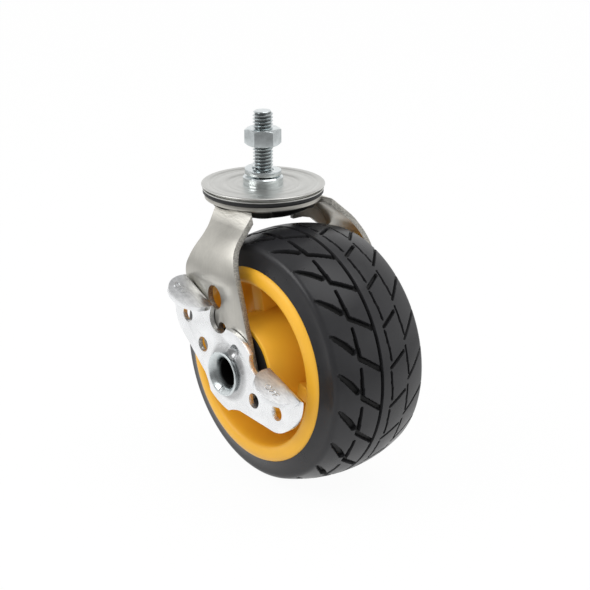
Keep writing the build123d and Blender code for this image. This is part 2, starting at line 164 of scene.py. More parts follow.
class Number:
    """A number socket. Arithmetic on it adds Math nodes to its tree."""

    def __init__(self, graph, socket):
        self.graph = graph
        self.socket = socket

    def maths(self, operation, *others):
        """The result of one Math node on this number and others."""
        values = dict(enumerate((self, *others)))
        return self.graph.number("ShaderNodeMath", {"operation": operation}, values)

    def __add__(self, other):
        return self.maths("ADD", other)

    __radd__ = __add__

    def __mul__(self, other):
        return self.maths("MULTIPLY", other)

    __rmul__ = __mul__

    def __sub__(self, other):
        return self.maths("SUBTRACT", other)

    def __rsub__(self, other):
        return self.graph.constant(other).maths("SUBTRACT", self)

    def __pow__(self, other):
        return self.maths("POWER", other)


def distance(a, b):
    """The length of a flat vector, from its two Numbers."""
    return (a * a + b * b) ** 0.5


def socket_of(value):
    """The socket behind a Number, or any other value as it is."""
    return value.socket if isinstance(value, Number) else value


class Graph:
    """Adds nodes to one tree."""

    def __init__(self, tree):
        self.tree = tree

    def node(self, kind, settings=None, inputs=None):
        """A node of a type, with its settings set before its sockets get values or links."""
        made = self.tree.nodes.new(kind)
        for name, value in (settings or {}).items():
            setattr(made, name, value)
        for key, value in (inputs or {}).items():
            socket = made.inputs[key]
            source = socket_of(value)
            if isinstance(source, bpy.types.NodeSocket):
                self.tree.links.new(source, socket)
            else:
                socket.default_value = source
        return made

    def number(self, kind, settings=None, inputs=None, output=0):
        """One output of a new node, as a Number."""
        return Number(self, self.node(kind, settings, inputs).outputs[output])

    def constant(self, value):
        """A fixed value as a Number."""
        made = self.tree.nodes.new("ShaderNodeValue")
        made.outputs[0].default_value = value
        return Number(self, made.outputs[0])

    def object_place(self, turn=(0, 0, 0), scale=(1, 1, 1), centre=(0, 0, 0)):
        """Object coordinates, moved so that centre is zero, then turned and scaled."""
        coordinates = self.node("ShaderNodeTexCoord").outputs["Object"]
        moved = self.node("ShaderNodeVectorMath", {"operation": "SUBTRACT"}, {0: coordinates, 1: centre})
        mapped = self.node(
            "ShaderNodeMapping", {}, {"Vector": moved.outputs[0], "Rotation": turn, "Scale": scale}
        )
        return mapped.outputs[0]

    def noise(self, place, scale, detail=3.0, roughness=0.5):
        """Noise from about 0.3 to 0.7."""
        inputs = {"Vector": place, "Scale": scale, "Detail": detail, "Roughness": roughness}
        return self.number("ShaderNodeTexNoise", {}, inputs)

    def axes(self, place):
        """The three Numbers of a place."""
        parts = self.node("ShaderNodeSeparateXYZ", {}, {0: place})
        return [Number(self, output) for output in parts.outputs]

    def attribute(self, name):
        """A mesh attribute as a Number."""
        return self.number("ShaderNodeAttribute", {"attribute_name": name}, {}, 2)

    def between(self, value, low, high, start=0.0, end=1.0):
        """Value mapped from low..high to start..end, and kept inside it."""
        return self.number(
            "ShaderNodeMapRange", {"clamp": True}, {0: value, 1: low, 2: high, 3: start, 4: end}
        )

    def patches(self, noise):
        """Noise as soft patches from 0 to 1."""
        return self.between(noise, *PATCH_RANGE)

    def spread(self, noise, start, end):
        """Noise spread from start to end."""
        return self.between(noise, *NOISE_RANGE, start, end)

    def blend(self, share, first, second):
        """A colour between two, by a share from 0 to 1."""
        mixed = self.node(
            "ShaderNodeMix", {"data_type": "RGBA", "clamp_factor": True},
            {0: share, 6: as_colour(first), 7: as_colour(second)}
        )
        return mixed.outputs[2]

    def bump(self, height, reach, strength):
        """A normal from a height times a reach in metres."""
        inputs = {"Height": height, "Distance": reach, "Strength": strength}
        return self.node("ShaderNodeBump", {}, inputs).outputs[0]


def as_colour(value):
    """A colour socket as it is, or three numbers with an alpha of 1."""
    return value if isinstance(value, (bpy.types.NodeSocket, Number)) else (*tuple(value)[:3], 1.0)


def darker(colour, share):
    """A colour multiplied by a share."""
    return tuple(channel * share for channel in tuple(colour)[:3])


# Ends the name of each material made here, which sets it apart from the CAD's material for the same slot
FINISH = "_finish"


def new_material(name, **fixed):
    """A material with a Principled shader whose sockets take the fixed values, its graph and the shader."""
    material = bpy.data.materials.new(name + FINISH)
    material.use_nodes = True
    graph = Graph(material.node_tree)
    shader = material.node_tree.nodes["Principled BSDF"]
    for key, value in fixed.items():
        shader.inputs[key.replace("_", " ").title().replace("Ior", "IOR")].default_value = value
    return material, graph, shader


def link(graph, shader, **varying):
    """Feeds the shader's sockets."""
    for key, value in varying.items():
        graph.tree.links.new(socket_of(value), shader.inputs[key.replace("_", " ").title()])


def finish_settings():
    """The colours chosen in the panel."""
    return bpy.context.scene.castor_finish


def size_settings():
    """The sizes chosen in the panel."""
    return bpy.context.scene.castor_sizes


def bright_zinc():
    """Bright blue-white zinc on turned steel, a little cloudy, with painted shade in the thread's roots that
    stops at the stem's tip.
    """
    tint = finish_settings().fastener
    material, graph, shader = new_material("bright_zinc", metallic=1.0)
    place = graph.object_place()
    cloud = graph.noise(place, 260.0, 4.0)
    fine = graph.noise(place, 2400.0, 2.0)
    x, y, z = graph.axes(place)
    # Painted shade: the thread's roots turn dark, except near the stem's tip
    root = graph.between(distance(x, y), *ROOT_PAINTED_SHADE, 1.0, 0.0) * graph.between(z, *TIP_SHADE_END, 1.0, 0.0)
    clean = graph.blend(graph.patches(cloud), darker(tint, 0.84), tint)
    link(
        graph, shader,
        base_color=graph.blend(root, clean, darker(tint, 0.30)),
        roughness=graph.spread(cloud, 0.12, 0.24),
        normal=graph.bump(fine, 0.02 * MM, 0.5),
    )
    return material


def satin_plate():
    """Satin nickel on the pressed plate, with fine turned rings round the swivel axis."""
    tint = finish_settings().plate
    material, graph, shader = new_material("satin_plate", metallic=1.0)
    place = graph.object_place()
    x, y, _ = graph.axes(place)
    inputs = {"W": distance(x, y), "Scale": 2600.0, "Detail": 2.0}
    rings = graph.number("ShaderNodeTexNoise", {"noise_dimensions": "1D"}, inputs)
    cloud = graph.noise(place, 120.0, 4.0)
    base = graph.blend(graph.between(cloud + rings * 0.4, 0.5, 0.9), darker(tint, 0.88), tint)
    link(
        graph, shader,
        base_color=base,
        roughness=graph.spread(cloud, 0.30, 0.38),
        normal=graph.bump(rings, 0.012 * MM, 0.35),
    )
    return material


def satin_fork():
    """Satin nickel on drawn sheet, with rough sheared edges where the sheared attribute is 1, painted shade
    in the crown's bowl, and rough crumpled folds at the roof lightened with painted light.
    """
    tint = finish_settings().fork
    material, graph, shader = new_material("satin_fork")
    place = graph.object_place()
    cloud = graph.noise(place, 70.0, 5.0)
    drawn = graph.noise(graph.object_place(scale=(1.0, 1.0, 0.12)), 900.0, 3.0)
    grain = graph.noise(place, 3200.0, 2.0)
    sheared = graph.attribute("sheared")
    torn = graph.noise(graph.object_place(scale=(1.0, 0.5, 1.0)), 1500.0, 4.0, 0.7)
    x, y, z = graph.axes(place)
    # Painted shade: the crown's bowl, below its rim and inside its wall, turns nearly black
    bowl = graph.between(distance(x, y), *BOWL_SHADE_WALL, 1.0, 0.0) * graph.between(z, *BOWL_SHADE_RIM, 1.0, 0.0)
    plated = graph.blend(graph.between(cloud + drawn * 0.35, 0.5, 0.85), darker(tint, 0.84), tint)
    # The roof's folds are rougher, less metallic and crumpled, and their lighter tint is painted light
    # against the rim's shadow
    fold = graph.between(y.maths("ABSOLUTE"), *FOLD_SIDE) * graph.between(z, *FOLD_FOOT)
    fold = fold * graph.between(z, *FOLD_TOP, 1.0, 0.0)
    crumple = graph.noise(graph.object_place(scale=(0.6, 1.0, 1.6)), 420.0, 3.0, 0.6)
    skin = graph.blend(bowl, graph.blend(fold, plated, FOLD_TINT_WITH_PAINTED_LIGHT), darker(tint, 0.06))
    edge = graph.blend(graph.between(torn, 0.42, 0.6), darker(tint, 0.50), darker(tint, 0.95))
    rough_skin = graph.spread(cloud, 0.30, 0.40)
    rough_edge = graph.spread(torn, 0.38, 0.60)
    roughness = rough_skin + sheared * (rough_edge - rough_skin) + bowl * 0.15 + fold * 0.12
    height = grain * 0.012 + sheared * torn * 0.20 + fold * crumple * 0.9
    link(
        graph, shader,
        base_color=graph.blend(sheared, skin, edge),
        roughness=roughness,
        normal=graph.bump(height, MM, 0.6),
        metallic=1 - fold * 0.45,
    )
    return material


def dull_nickel():
    """Dull plating on the webs behind the legs, where the sheet was stretched."""
    tint = finish_settings().fork
    material, graph, shader = new_material("dull_nickel", metallic=0.35)
    place = graph.object_place()
    cloud = graph.noise(place, 90.0, 4.0)
    across = graph.axes(place)[1].maths("ABSOLUTE")
    shadow = graph.between(across, *WEB_SHADOW, 0.8, 0.0)
    skin = graph.blend(graph.patches(cloud), darker(tint, 0.72), darker(tint, 0.95))
    link(
        graph, shader,
        base_color=graph.blend(shadow, skin, darker(tint, 0.12)),
        roughness=graph.spread(cloud, 0.42, 0.55),
        normal=graph.bump(cloud, 0.1 * MM, 0.5),
    )
    return material


def lever_zinc():
    """Bright white zinc on the pressed lever, softly dappled, with painted shade round its collar, and its
    pedal tops darkened by scuffs and painted shade.
    """
    tint = finish_settings().lever
    material, graph, shader = new_material("lever_zinc", metallic=0.92)
    place = graph.object_place()
    cloud = graph.noise(place, 150.0, 5.0)
    grain = graph.noise(place, 2600.0, 2.0)
    x, _, z = graph.axes(graph.object_place(centre=tuple(AXLE)))
    # Painted shade: the lever turns darker round the axle's collar
    collar_shade = graph.between(distance(x, z), *COLLAR_PAINTED_SHADE, 1.0, 0.0)
    pedal = graph.attribute("pedal")
    along_pedals = graph.object_place(turn=(0, LEVER_TILT, 0), scale=(0.25, 1.0, 1.0))
    scuffs = graph.noise(along_pedals, 700.0, 4.0, 0.6)
    # The pedal tops are darker: partly scuffs, partly painted shade
    scuffed_and_shaded = graph.blend(graph.between(scuffs, 0.38, 0.62), darker(tint, 0.64), darker(tint, 0.80))
    clean = graph.blend(graph.between(cloud, 0.36, 0.62), darker(tint, 0.90), tint)
    link(
        graph, shader,
        base_color=graph.blend(collar_shade * 0.55, graph.blend(pedal, clean, scuffed_and_shaded), darker(tint, 0.22)),
        roughness=graph.spread(cloud, 0.22, 0.34) + pedal * 0.08,
        normal=graph.bump(grain + cloud * 2.0, 0.008 * MM, 0.5),
    )
    return material


def axle_zinc():
    """Bright drawn tube, with painted shade inside its bore and round its flared mouth."""
    tint = finish_settings().fastener
    material, graph, shader = new_material("axle_zinc", metallic=1.0)
    place = graph.object_place(centre=tuple(AXLE))
    x, y, z = graph.axes(place)
    radius = distance(x, z)
    # Painted shade: the bore turns nearly black inside, and the flare darkens towards its mouth
    deep = graph.between(y, *BORE_SHADE_NEAR) * graph.between(y, *BORE_SHADE_FAR, 1.0, 0.0)
    inside = graph.between(radius, *BORE_SHADE_WALL, 1.0, 0.0) * deep
    mouth = graph.between(radius, *MOUTH_SHADE, 0.45, 1.0)
    cloud = graph.noise(place, 300.0, 4.0)
    skin = graph.blend(mouth * graph.between(cloud, *PATCH_RANGE, 0.8, 1.0), darker(tint, 0.12), tint)
    link(
        graph, shader,
        base_color=graph.blend(inside, skin, BORE_SHADE_COLOUR),
        roughness=graph.spread(cloud, 0.18, 0.32) + inside * 0.3,
        normal=graph.bump(cloud, 0.03 * MM, 0.5),
    )
    return material


def ground_steel():
    """Ground bearing steel."""
    material, graph, shader = new_material("ground_steel", metallic=1.0)
    cloud = graph.noise(graph.object_place(), 500.0, 3.0)
    link(
        graph, shader,
        base_color=graph.blend(cloud, (0.45, 0.45, 0.45), (0.65, 0.65, 0.65)),
        roughness=graph.spread(cloud, 0.15, 0.25),
    )
    return material


def dark_steel():
    """Black phosphated steel."""
    material, graph, shader = new_material("dark_steel", metallic=0.8)
    cloud = graph.noise(graph.object_place(), 600.0, 3.0)
    link(
        graph, shader,
        base_color=graph.blend(cloud, (0.03, 0.03, 0.03), (0.09, 0.09, 0.09)),
        roughness=graph.spread(cloud, 0.4, 0.6),
    )
    return material


def black_rubber():
    """Black moulded rubber of the seals."""
    tint = finish_settings().seal
    material, graph, shader = new_material("black_rubber", specular_ior_level=0.35)
    cloud = graph.noise(graph.object_place(), 900.0, 3.0)
    link(
        graph, shader,
        base_color=graph.blend(cloud, darker(tint, 0.7), darker(tint, 1.4)),
        roughness=graph.spread(cloud, 0.42, 0.6),
        normal=graph.bump(cloud, 0.05 * MM, 0.4),
    )
    return material


def rim_plastic():
    """Satin yellow moulded nylon."""
    tint = finish_settings().rim
    material, graph, shader = new_material("rim_plastic", specular_ior_level=0.4)
    place = graph.object_place(centre=tuple(AXLE))
    cloud = graph.noise(place, 45.0, 4.0)
    grain = graph.noise(place, 1800.0, 2.0)
    link(
        graph, shader,
        base_color=graph.blend(graph.patches(cloud), darker(tint, 0.94), tint),
        roughness=graph.spread(cloud, 0.34, 0.44),
        normal=graph.bump(grain, 0.02 * MM, 0.5),
    )
    return material


def tyre_rubber():
    """Charcoal moulded rubber with a faint bloom, and painted shade darkening its grooves."""
    tint = finish_settings().tyre
    material, graph, shader = new_material("tyre_rubber", specular_ior_level=0.36)
    place = graph.object_place(centre=tuple(AXLE))
    cloud = graph.noise(place, 60.0, 5.0)
    grain = graph.noise(place, 2000.0, 3.0)
    # Painted shade: the grooves turn nearly black by their depth
    groove = graph.attribute("groove")
    skin = graph.blend(graph.patches(cloud), darker(tint, 0.86), darker(tint, 1.12))
    link(
        graph, shader,
        base_color=graph.blend(groove, skin, darker(tint, 0.10)),
        roughness=graph.spread(cloud, 0.26, 0.38) + groove * 0.3,
        normal=graph.bump(grain, 0.04 * MM, 0.5),
    )
    return material


def material_once(maker):
    """The material that a maker gives, made only the first time."""
    found = bpy.data.materials.get(maker.__name__ + FINISH)
    return found if found else maker()


def paint(node, maker):
    """Gives a CAD node a material through its slots."""
    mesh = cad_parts[node].data
    mesh.materials.clear()
    mesh.materials.append(material_once(maker))


def placed(name, data):
    """A new object in the scene."""
    item = bpy.data.objects.new(name, data)
    bpy.context.scene.collection.objects.link(item)
    return item


def new_piece(name, mesh, body, slot, maker, *stood_for):
    """Adds an object at the origin that rides on a body and takes the place of CAD nodes."""
    piece = placed(name, mesh)
    mesh.materials.clear()
    mesh.materials.append(material_once(maker))
    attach(piece, body)
    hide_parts(*stood_for)


def outward(mesh, gap):
    """The same mesh with points within a gap merged and its faces pointing outwards."""
    made = bmesh.new()
    made.from_mesh(mesh)
    bmesh.ops.remove_doubles(made, verts=made.verts, dist=gap)
    bmesh.ops.recalc_face_normals(made, faces=made.faces)
    made.to_mesh(mesh)
    made.free()
    return mesh


def mesh_from(name, points, faces):
    """A mesh whose faces point outwards."""
    mesh = bpy.data.meshes.new(name)
    mesh.from_pydata([tuple(p) for p in points], [], [tuple(f) for f in faces])
    return outward(mesh, MADE_GAP)


def shade(mesh, angle):
    """Smooth shading, with edges sharper than an angle in degrees kept sharp."""
    mesh.shade_smooth()
    mesh.set_sharp_from_angle(angle=radians(angle))


def merged_copy(node):
    """A copy of a CAD node's mesh with its doubles merged and its flat faces joined."""
    made = bmesh.new()
    made.from_mesh(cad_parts[node].data)
    bmesh.ops.remove_doubles(made, verts=made.verts, dist=CAD_GAP)
    bmesh.ops.dissolve_limit(made, angle_limit=radians(FLAT_ANGLE), verts=made.verts, edges=made.edges)
    mesh = bpy.data.meshes.new(node)
    made.to_mesh(mesh)
    made.free()
    return mesh


def bevelled(mesh, width, angle=EDGE_ANGLE, segments=2):
    """A mesh with the edges sharper than an angle in degrees rounded."""
    holder = placed("bevel_holder", mesh)
    bevel = holder.modifiers.new("bevel", "BEVEL")
    bevel.width = width
    bevel.segments = segments
    bevel.limit_method = "ANGLE"
    bevel.angle_limit = radians(angle)
    bevel.miter_outer = "MITER_ARC"
    made = evaluated_mesh(holder)
    bpy.data.objects.remove(holder)
    return made


def carved(mesh, *cutters):
    """A mesh with other closed meshes cut out of it."""
    holder = placed("carve_holder", mesh)
    tools = [placed("carve_tool", cutter) for cutter in cutters]
    for tool in tools:
        cut = holder.modifiers.new("cut", "BOOLEAN")
        cut.operation = "DIFFERENCE"
        cut.solver = "EXACT"
        cut.object = tool
    made = evaluated_mesh(holder)
    for item in (holder, *tools):
        bpy.data.objects.remove(item)
    return made


def prism(outline, origin, along, up, low, high):
    """A closed prism on an outline of (along, up) points about origin, from low to high across them."""
    out = along.cross(up)
    points = [origin + along * a + up * b + out * c for c in (low, high) for a, b in outline]
    count = len(outline)
    faces = [range(count), range(count, 2 * count)]
    faces += [(i, (i + 1) % count, count + (i + 1) % count, count + i) for i in range(count)]
    return mesh_from("prism", points, faces)


def disc(centre, radius, steps=48):
    """The outline of a disc, as (along, up) points."""
    return [
        (centre[0] + radius * cos(2 * pi * i / steps), centre[1] + radius * sin(2 * pi * i / steps))
        for i in range(steps)
    ]


def rounded(section, steps=6):
    """A closed section of (radius, place, rounding) points, its corners rounded, in metres."""
    made = []
    for i, (radius, place, size) in enumerate(section):
        corner = Vector((radius, place)) * MM
        before = Vector(section[i - 1][:2]) * MM - corner
        after = Vector(section[(i + 1) % len(section)][:2]) * MM - corner
        start = corner + before.normalized() * min(size * MM, before.length / 2)
        end = corner + after.normalized() * min(size * MM, after.length / 2)
        for k in range(steps + 1 if size else 1):
            share = k / steps
            made.append(tuple(start.lerp(corner, share).lerp(corner.lerp(end, share), share)))
    return made


def joined(name, *meshes):
    """Closed meshes kept as one."""
    made = bmesh.new()
    for mesh in meshes:
        made.from_mesh(mesh)
    whole = bpy.data.meshes.new(name)
    made.to_mesh(whole)
    made.free()
    return whole


def mark_faces(mesh, name, chosen):
    """Sets a face attribute to 1 on the faces that a test chooses, and to 0 on the others."""
    attribute = mesh.attributes.new(name, "FLOAT", "FACE")
    attribute.data.foreach_set("value", [float(chosen(face)) for face in mesh.polygons])


def evaluated_mesh(holder):
    """A plain mesh of an object with its modifiers applied."""
    graph = bpy.context.evaluated_depsgraph_get()
    graph.update()
    return bpy.data.meshes.new_from_object(holder.evaluated_get(graph))


def repeat_tree(name, round_axis):
    """A tree that repeats its geometry, turned about the axle or moved along Z, and joins the copies."""
    tree = bpy.data.node_groups.new(name, "GeometryNodeTree")
    interface = tree.interface
    interface.new_socket("Geometry", in_out="INPUT", socket_type="NodeSocketGeometry")
    kinds = {"Count": "Int", "Step": "Float", "Centre": "Vector", "Material": "Material"}
    sockets = {
        key: interface.new_socket(key, in_out="INPUT", socket_type="NodeSocket" + kind)
        for key, kind in kinds.items()
    }
    interface.new_socket("Geometry", in_out="OUTPUT", socket_type="NodeSocketGeometry")
    graph = Graph(tree)
    given = graph.node("NodeGroupInput")
    place = graph.node("GeometryNodeMeshLine", {"mode": "OFFSET"}, {"Count": given.outputs["Count"]})
    index = graph.number("GeometryNodeInputIndex")
    amount = index * Number(graph, given.outputs["Step"])
    if round_axis:
        spot = given.outputs["Centre"]
        turn = {"Rotation": graph.node("ShaderNodeCombineXYZ", {}, {1: amount}).outputs[0]}
    else:
        spot = graph.node("ShaderNodeCombineXYZ", {}, {2: amount}).outputs[0]
        turn = {}
    spots = graph.node("GeometryNodeSetPosition", {}, {"Geometry": place.outputs[0], "Position": spot})
    copies = graph.node(
        "GeometryNodeInstanceOnPoints", {},
        {"Points": spots.outputs[0], "Instance": given.outputs["Geometry"], **turn}
    )
    real = graph.node("GeometryNodeRealizeInstances", {}, {0: copies.outputs[0]})
    merged = graph.node(
        "GeometryNodeMergeByDistance", {}, {"Geometry": real.outputs[0], "Distance": COPY_GAP}
    )
    painted = graph.node(
        "GeometryNodeSetMaterial", {}, {"Geometry": merged.outputs[0], "Material": given.outputs["Material"]}
    )
    graph.node("NodeGroupOutput", {}, {0: painted.outputs[0]})
    return tree, sockets


def repeated(mesh, tree, sockets, values):
    """A mesh after a repeat tree with its inputs set."""
    holder = placed("repeat_holder", mesh)
    modifier = holder.modifiers.new("repeat", "NODES")
    modifier.node_group = tree
    for name, value in values.items():
        modifier[sockets[name].identifier] = value
    made = evaluated_mesh(holder)
    holder.modifiers.clear()
    bpy.data.objects.remove(holder)
    return made


# Tyre: one pitch of the tread is a grid over the tyre's section, and the tree repeats it about the axle
SHOULDER_DROP = 6.4 * MM
SHOULDER_ROUND = 4.0 * MM
TYRE_BED_RADIUS = 57.3 * MM
CROWN_BOW = (TYRE_HALF_WIDTH**2 + SHOULDER_DROP**2) / (2 * SHOULDER_DROP)
CROWN_LEAN = asin((TYRE_HALF_WIDTH - SHOULDER_ROUND) / (CROWN_BOW - SHOULDER_ROUND))
CROWN_END = CROWN_BOW * CROWN_LEAN
ROUND_END = CROWN_END + SHOULDER_ROUND * (pi / 2 - CROWN_LEAN)
SIDE_TOP_RADIUS = TYRE_RADIUS - CROWN_BOW + (CROWN_BOW - SHOULDER_ROUND) * cos(CROWN_LEAN)
BEAD_RADIUS = 58.8 * MM
BEAD_FLARE = 2.5 * MM
SIDE_END = ROUND_END + SIDE_TOP_RADIUS - BEAD_RADIUS
TREAD_COLUMNS = 40
CROWN_ROWS = 100
SHOULDER_ROWS = 5
SIDE_ROWS = 3
FLARE_POWER = 1.5
MM_PER_DEGREE = radians(1) * TYRE_RADIUS / MM
# A groove's wall in mm, the share of a cell that a grid point moves to reach it, and the rim left unmoved
GROOVE_WALL = 0.45
CELL_REACH = 0.42
UNMOVED_RIM = 0.5 * MM
NEARLY_ZERO = 1e-6


def tyre_section(across):
    """Places along the axle, radii and leans of the tyre's section at distances from its middle."""
    away = np.abs(across)
    on_crown = np.minimum(away / CROWN_BOW, CROWN_LEAN)
    lean = np.minimum(away, CROWN_END) / CROWN_BOW
    lean = lean + np.clip(away - CROWN_END, 0, ROUND_END - CROWN_END) / SHOULDER_ROUND
    along = (CROWN_BOW - SHOULDER_ROUND) * np.sin(on_crown) + SHOULDER_ROUND * np.sin(lean)
    radius = TYRE_RADIUS - CROWN_BOW + (CROWN_BOW - SHOULDER_ROUND) * np.cos(on_crown)
    radius = radius + SHOULDER_ROUND * np.cos(lean) - np.maximum(away - ROUND_END, 0)
    flare = np.clip((away - ROUND_END) / (SIDE_END - ROUND_END), 0, 1) ** FLARE_POWER * BEAD_FLARE
    return np.sign(across) * (along + flare), radius, np.sign(across) * lean


def tread_grooves(pitch):
    """The grooves of one pitch, each a route of (mm across, degrees round, half width mm, depth share)."""
    return [
        [(-3.9, -1.0, 1.0, 1.0), (-3.9, pitch + 1.0, 1.0, 1.0)],
        [(-5.0, 9.4, 1.6, 1.0), (-17.2, 15.9, 1.7, 1.0)],
        [(-17.4, 15.9, 1.3, 1.0), (-17.4, 29.3, 1.1, 1.0)],
        [(-20.6, 1.3, 1.9, 1.0), (-25.0, 5.6, 2.0, 1.0), (-29.5, 9.2, 1.6, 0.8), (-31.8, 11.2, 0.6, 0.4)],
        [(3.2, 24.6, 0.8, 0.9), (4.4, 11.4, 0.8, 0.9)],
        [(3.6, 8.4, 1.2, 0.9), (14.8, 13.6, 1.2, 0.9)],
        [(17.2, 15.6, 0.85, 0.9), (18.0, 3.0, 0.85, 0.9)],
        [(17.6, 0.8, 1.0, 0.9), (31.0, 11.0, 1.0, 0.7), (34.0, 13.2, 0.6, 0.2)],
    ]


def nearest_groove(flat, grooves, pitch):
    """The groove nearest to flat points in mm: edge distance, route point, half width and depth share."""
    best = np.full(len(flat), np.inf)
    spot = np.zeros((len(flat), 2))
    half = np.zeros(len(flat))
    share = np.zeros(len(flat))
    for route in grooves:
        for turn in (-pitch, 0, pitch):
            for first, second in zip(route, route[1:]):
                start = np.array([first[0], (first[1] + turn) * MM_PER_DEGREE])
                run = np.array([second[0], (second[1] + turn) * MM_PER_DEGREE]) - start
                along = np.clip(((flat - start) @ run) / (run @ run), 0, 1)
                point = start + along[:, None] * run
                width = first[2] + along * (second[2] - first[2])
                edge = np.hypot(*(flat - point).T) - width
                closer = edge < best
                best[closer] = edge[closer]
                spot[closer] = point[closer]
                half[closer] = width[closer]
                share[closer] = (first[3] + along * (second[3] - first[3]))[closer]
    return best, spot, half, share


def tread_sector(sizes):
    """One pitch of the tyre about the axle, with the tread's grooves pressed into its grid."""
    pitch = 360 / sizes.tread_count
    crown = np.linspace(-CROWN_END, CROWN_END, CROWN_ROWS + 1)
    shoulder = np.linspace(CROWN_END, ROUND_END, SHOULDER_ROWS + 1)[1:]
    side = np.linspace(ROUND_END, SIDE_END, SIDE_ROWS + 1)[1:]
    rows = np.concatenate([-side[::-1], -shoulder[::-1], crown, shoulder, side])
    turns = np.linspace(0, pitch, TREAD_COLUMNS + 1)
    across, turn = (a.ravel() for a in np.meshgrid(rows, turns, indexing="ij"))
    flat = np.stack([across / MM, turn * MM_PER_DEGREE], axis=1)
    cell = pitch * MM_PER_DEGREE / TREAD_COLUMNS
    grooves = tread_grooves(pitch)
    edge, spot, half, share = nearest_groove(flat, grooves, pitch)
    away = flat - spot
    away /= np.maximum(np.hypot(*away.T), NEARLY_ZERO)[:, None]
    movable = np.abs(across) < ROUND_END - UNMOVED_RIM
    for level in (0.0, -GROOVE_WALL):
        held = movable & (np.abs(edge - level) < CELL_REACH * cell) & (half + level > 0)
        flat[held] = (spot + away * (half + level)[:, None])[held]
        movable &= ~held
    edge, spot, half, share = nearest_groove(flat, grooves, pitch)
    sunk = np.clip(-edge / GROOVE_WALL, 0, 1) * share
    along, radius, lean = tyre_section(flat[:, 0] * MM)
    depth = sunk * sizes.tread_depth
    along = along - depth * np.sin(lean)
    radius = radius - depth * np.cos(lean)
    angle = flat[:, 1] / MM_PER_DEGREE * pi / 180
    wide = TREAD_COLUMNS + 1
    bed = np.full(wide, TYRE_BED_RADIUS)
    along = np.concatenate([along, np.full(wide, TYRE_HALF_WIDTH), np.full(wide, -TYRE_HALF_WIDTH)])
    radius = np.concatenate([radius, bed, bed])
    angle = np.concatenate([angle, angle[:wide], angle[:wide]])
    sunk = np.concatenate([sunk, np.zeros(2 * wide)])
    points = np.stack([radius * np.cos(angle), along, radius * np.sin(angle)], axis=1)
    last = len(rows) + 1
    faces = [
        (r * wide + c, r * wide + c + 1, (r + 1) * wide + c + 1, (r + 1) * wide + c)
        for r in range(last)
        for c in range(TREAD_COLUMNS)
    ]
    faces += [
        (last * wide + c, last * wide + c + 1, c + 1, c)
        for c in range(TREAD_COLUMNS)
    ]
    mesh = bpy.data.meshes.new("tread_sector")
    mesh.from_pydata(points.tolist(), [], faces)
    # The groove attribute carries the depth that the tyre's finish darkens as painted shade
    groove = mesh.attributes.new("groove", "FLOAT", "POINT")
    groove.data.foreach_set("value", sunk.astype(np.float32))
    return mesh


class CASTOR_OT_tyre(bpy.types.Operator):
    """Builds the tyre with its tread"""

    bl_idname = "castor.tyre"
    bl_label = "Tyre"

    def execute(self, context):
        sizes = size_settings()
        tree, sockets = repeat_tree("tread_round_axle", True)
        values = {
            "Count": sizes.tread_count,
            "Step": 2 * pi / sizes.tread_count,
            "Centre": tuple(AXLE),
            "Material": material_once(tyre_rubber),
        }
        mesh = outward(repeated(tread_sector(sizes), tree, sockets, values), COPY_GAP)
        shade(mesh, SHARP_MOULDED)
        new_piece("tyre_tread", mesh, "wheel", "tyre_rubber", tyre_rubber, "tyre")
        return {"FINISHED"}


def lathe(name, section, centre, along_y, steps=96):
    """A closed mesh turned from (radius, place) points about a line through centre, along Y or Z."""
    points, faces = [], []
    count = len(section)
    for i in range(steps):
        angle = 2 * pi * i / steps
        for radius, place in section:
            if along_y:
                points.append(centre + Vector((radius * cos(angle), place, radius * sin(angle))))
            else:
                points.append(centre + Vector((radius * cos(angle), radius * sin(angle), place)))
    for i in range(steps):
        for j in range(count):
            a, b = i * count + j, i * count + (j + 1) % count
            c, d = (i + 1) % steps * count + (j + 1) % count, (i + 1) % steps * count + j
            faces.append((a, b, c, d))
    return mesh_from(name, points, faces)


# Stem: a helical thread above a turned collar, shank and riveted end
THREAD_STEPS = 48
THREAD_CREST = 1 / 8
THREAD_ROOT_START = 7 / 16
THREAD_ROOT_END = 11 / 16
THREAD_DEPTH_SHARE = 0.62
THREAD_FOOT = -2 * MM
TURNS_BELOW = 2
STEM_RADIUS = 6.0 * MM
STEM_CHAMFER = 1.2 * MM
BODY_TOP = 0.02 * MM
NUT_TURN = 30
NUT_EDGE_ANGLE = 25
WASHER_TURN = 150
WASHER_EDGE_ANGLE = 40
STEEL_EDGE = 0.3 * MM
# The ends of the ramps of painted shade in the thread's roots: outwards to its bright crests, and upwards to
# the stem's tip, where it stops
ROOT_PAINTED_SHADE = (4.8 * MM, STEM_RADIUS - 0.5 * MM)
TIP_SHADE_END = (STEM_TOP - 0.6 * MM, STEM_TOP - 0.1 * MM)


def thread_turn(pitch):
    """The lowest turn of the thread, which starts some turns below the seat."""
    root = STEM_RADIUS - THREAD_DEPTH_SHARE * pitch
    crests = (0, STEM_RADIUS), (THREAD_CREST, STEM_RADIUS)
    roots = (THREAD_ROOT_START, root), (THREAD_ROOT_END, root)
    rows = [*crests, *roots, (1, STEM_RADIUS)]
    points, faces = [], []
    for i in range(THREAD_STEPS + 1):
        angle = 2 * pi * i / THREAD_STEPS
        for share, radius in rows:
            height = pitch * (share + i / THREAD_STEPS - TURNS_BELOW)
            points.append((radius * cos(angle), radius * sin(angle), height))
    for i in range(THREAD_STEPS):
        for j in range(len(rows) - 1):
            a = i * len(rows) + j
            faces.append((a, a + len(rows), a + len(rows) + 1, a + 1))
    mesh = bpy.data.meshes.new("thread_turn")
    mesh.from_pydata(points, [], faces)
    return mesh


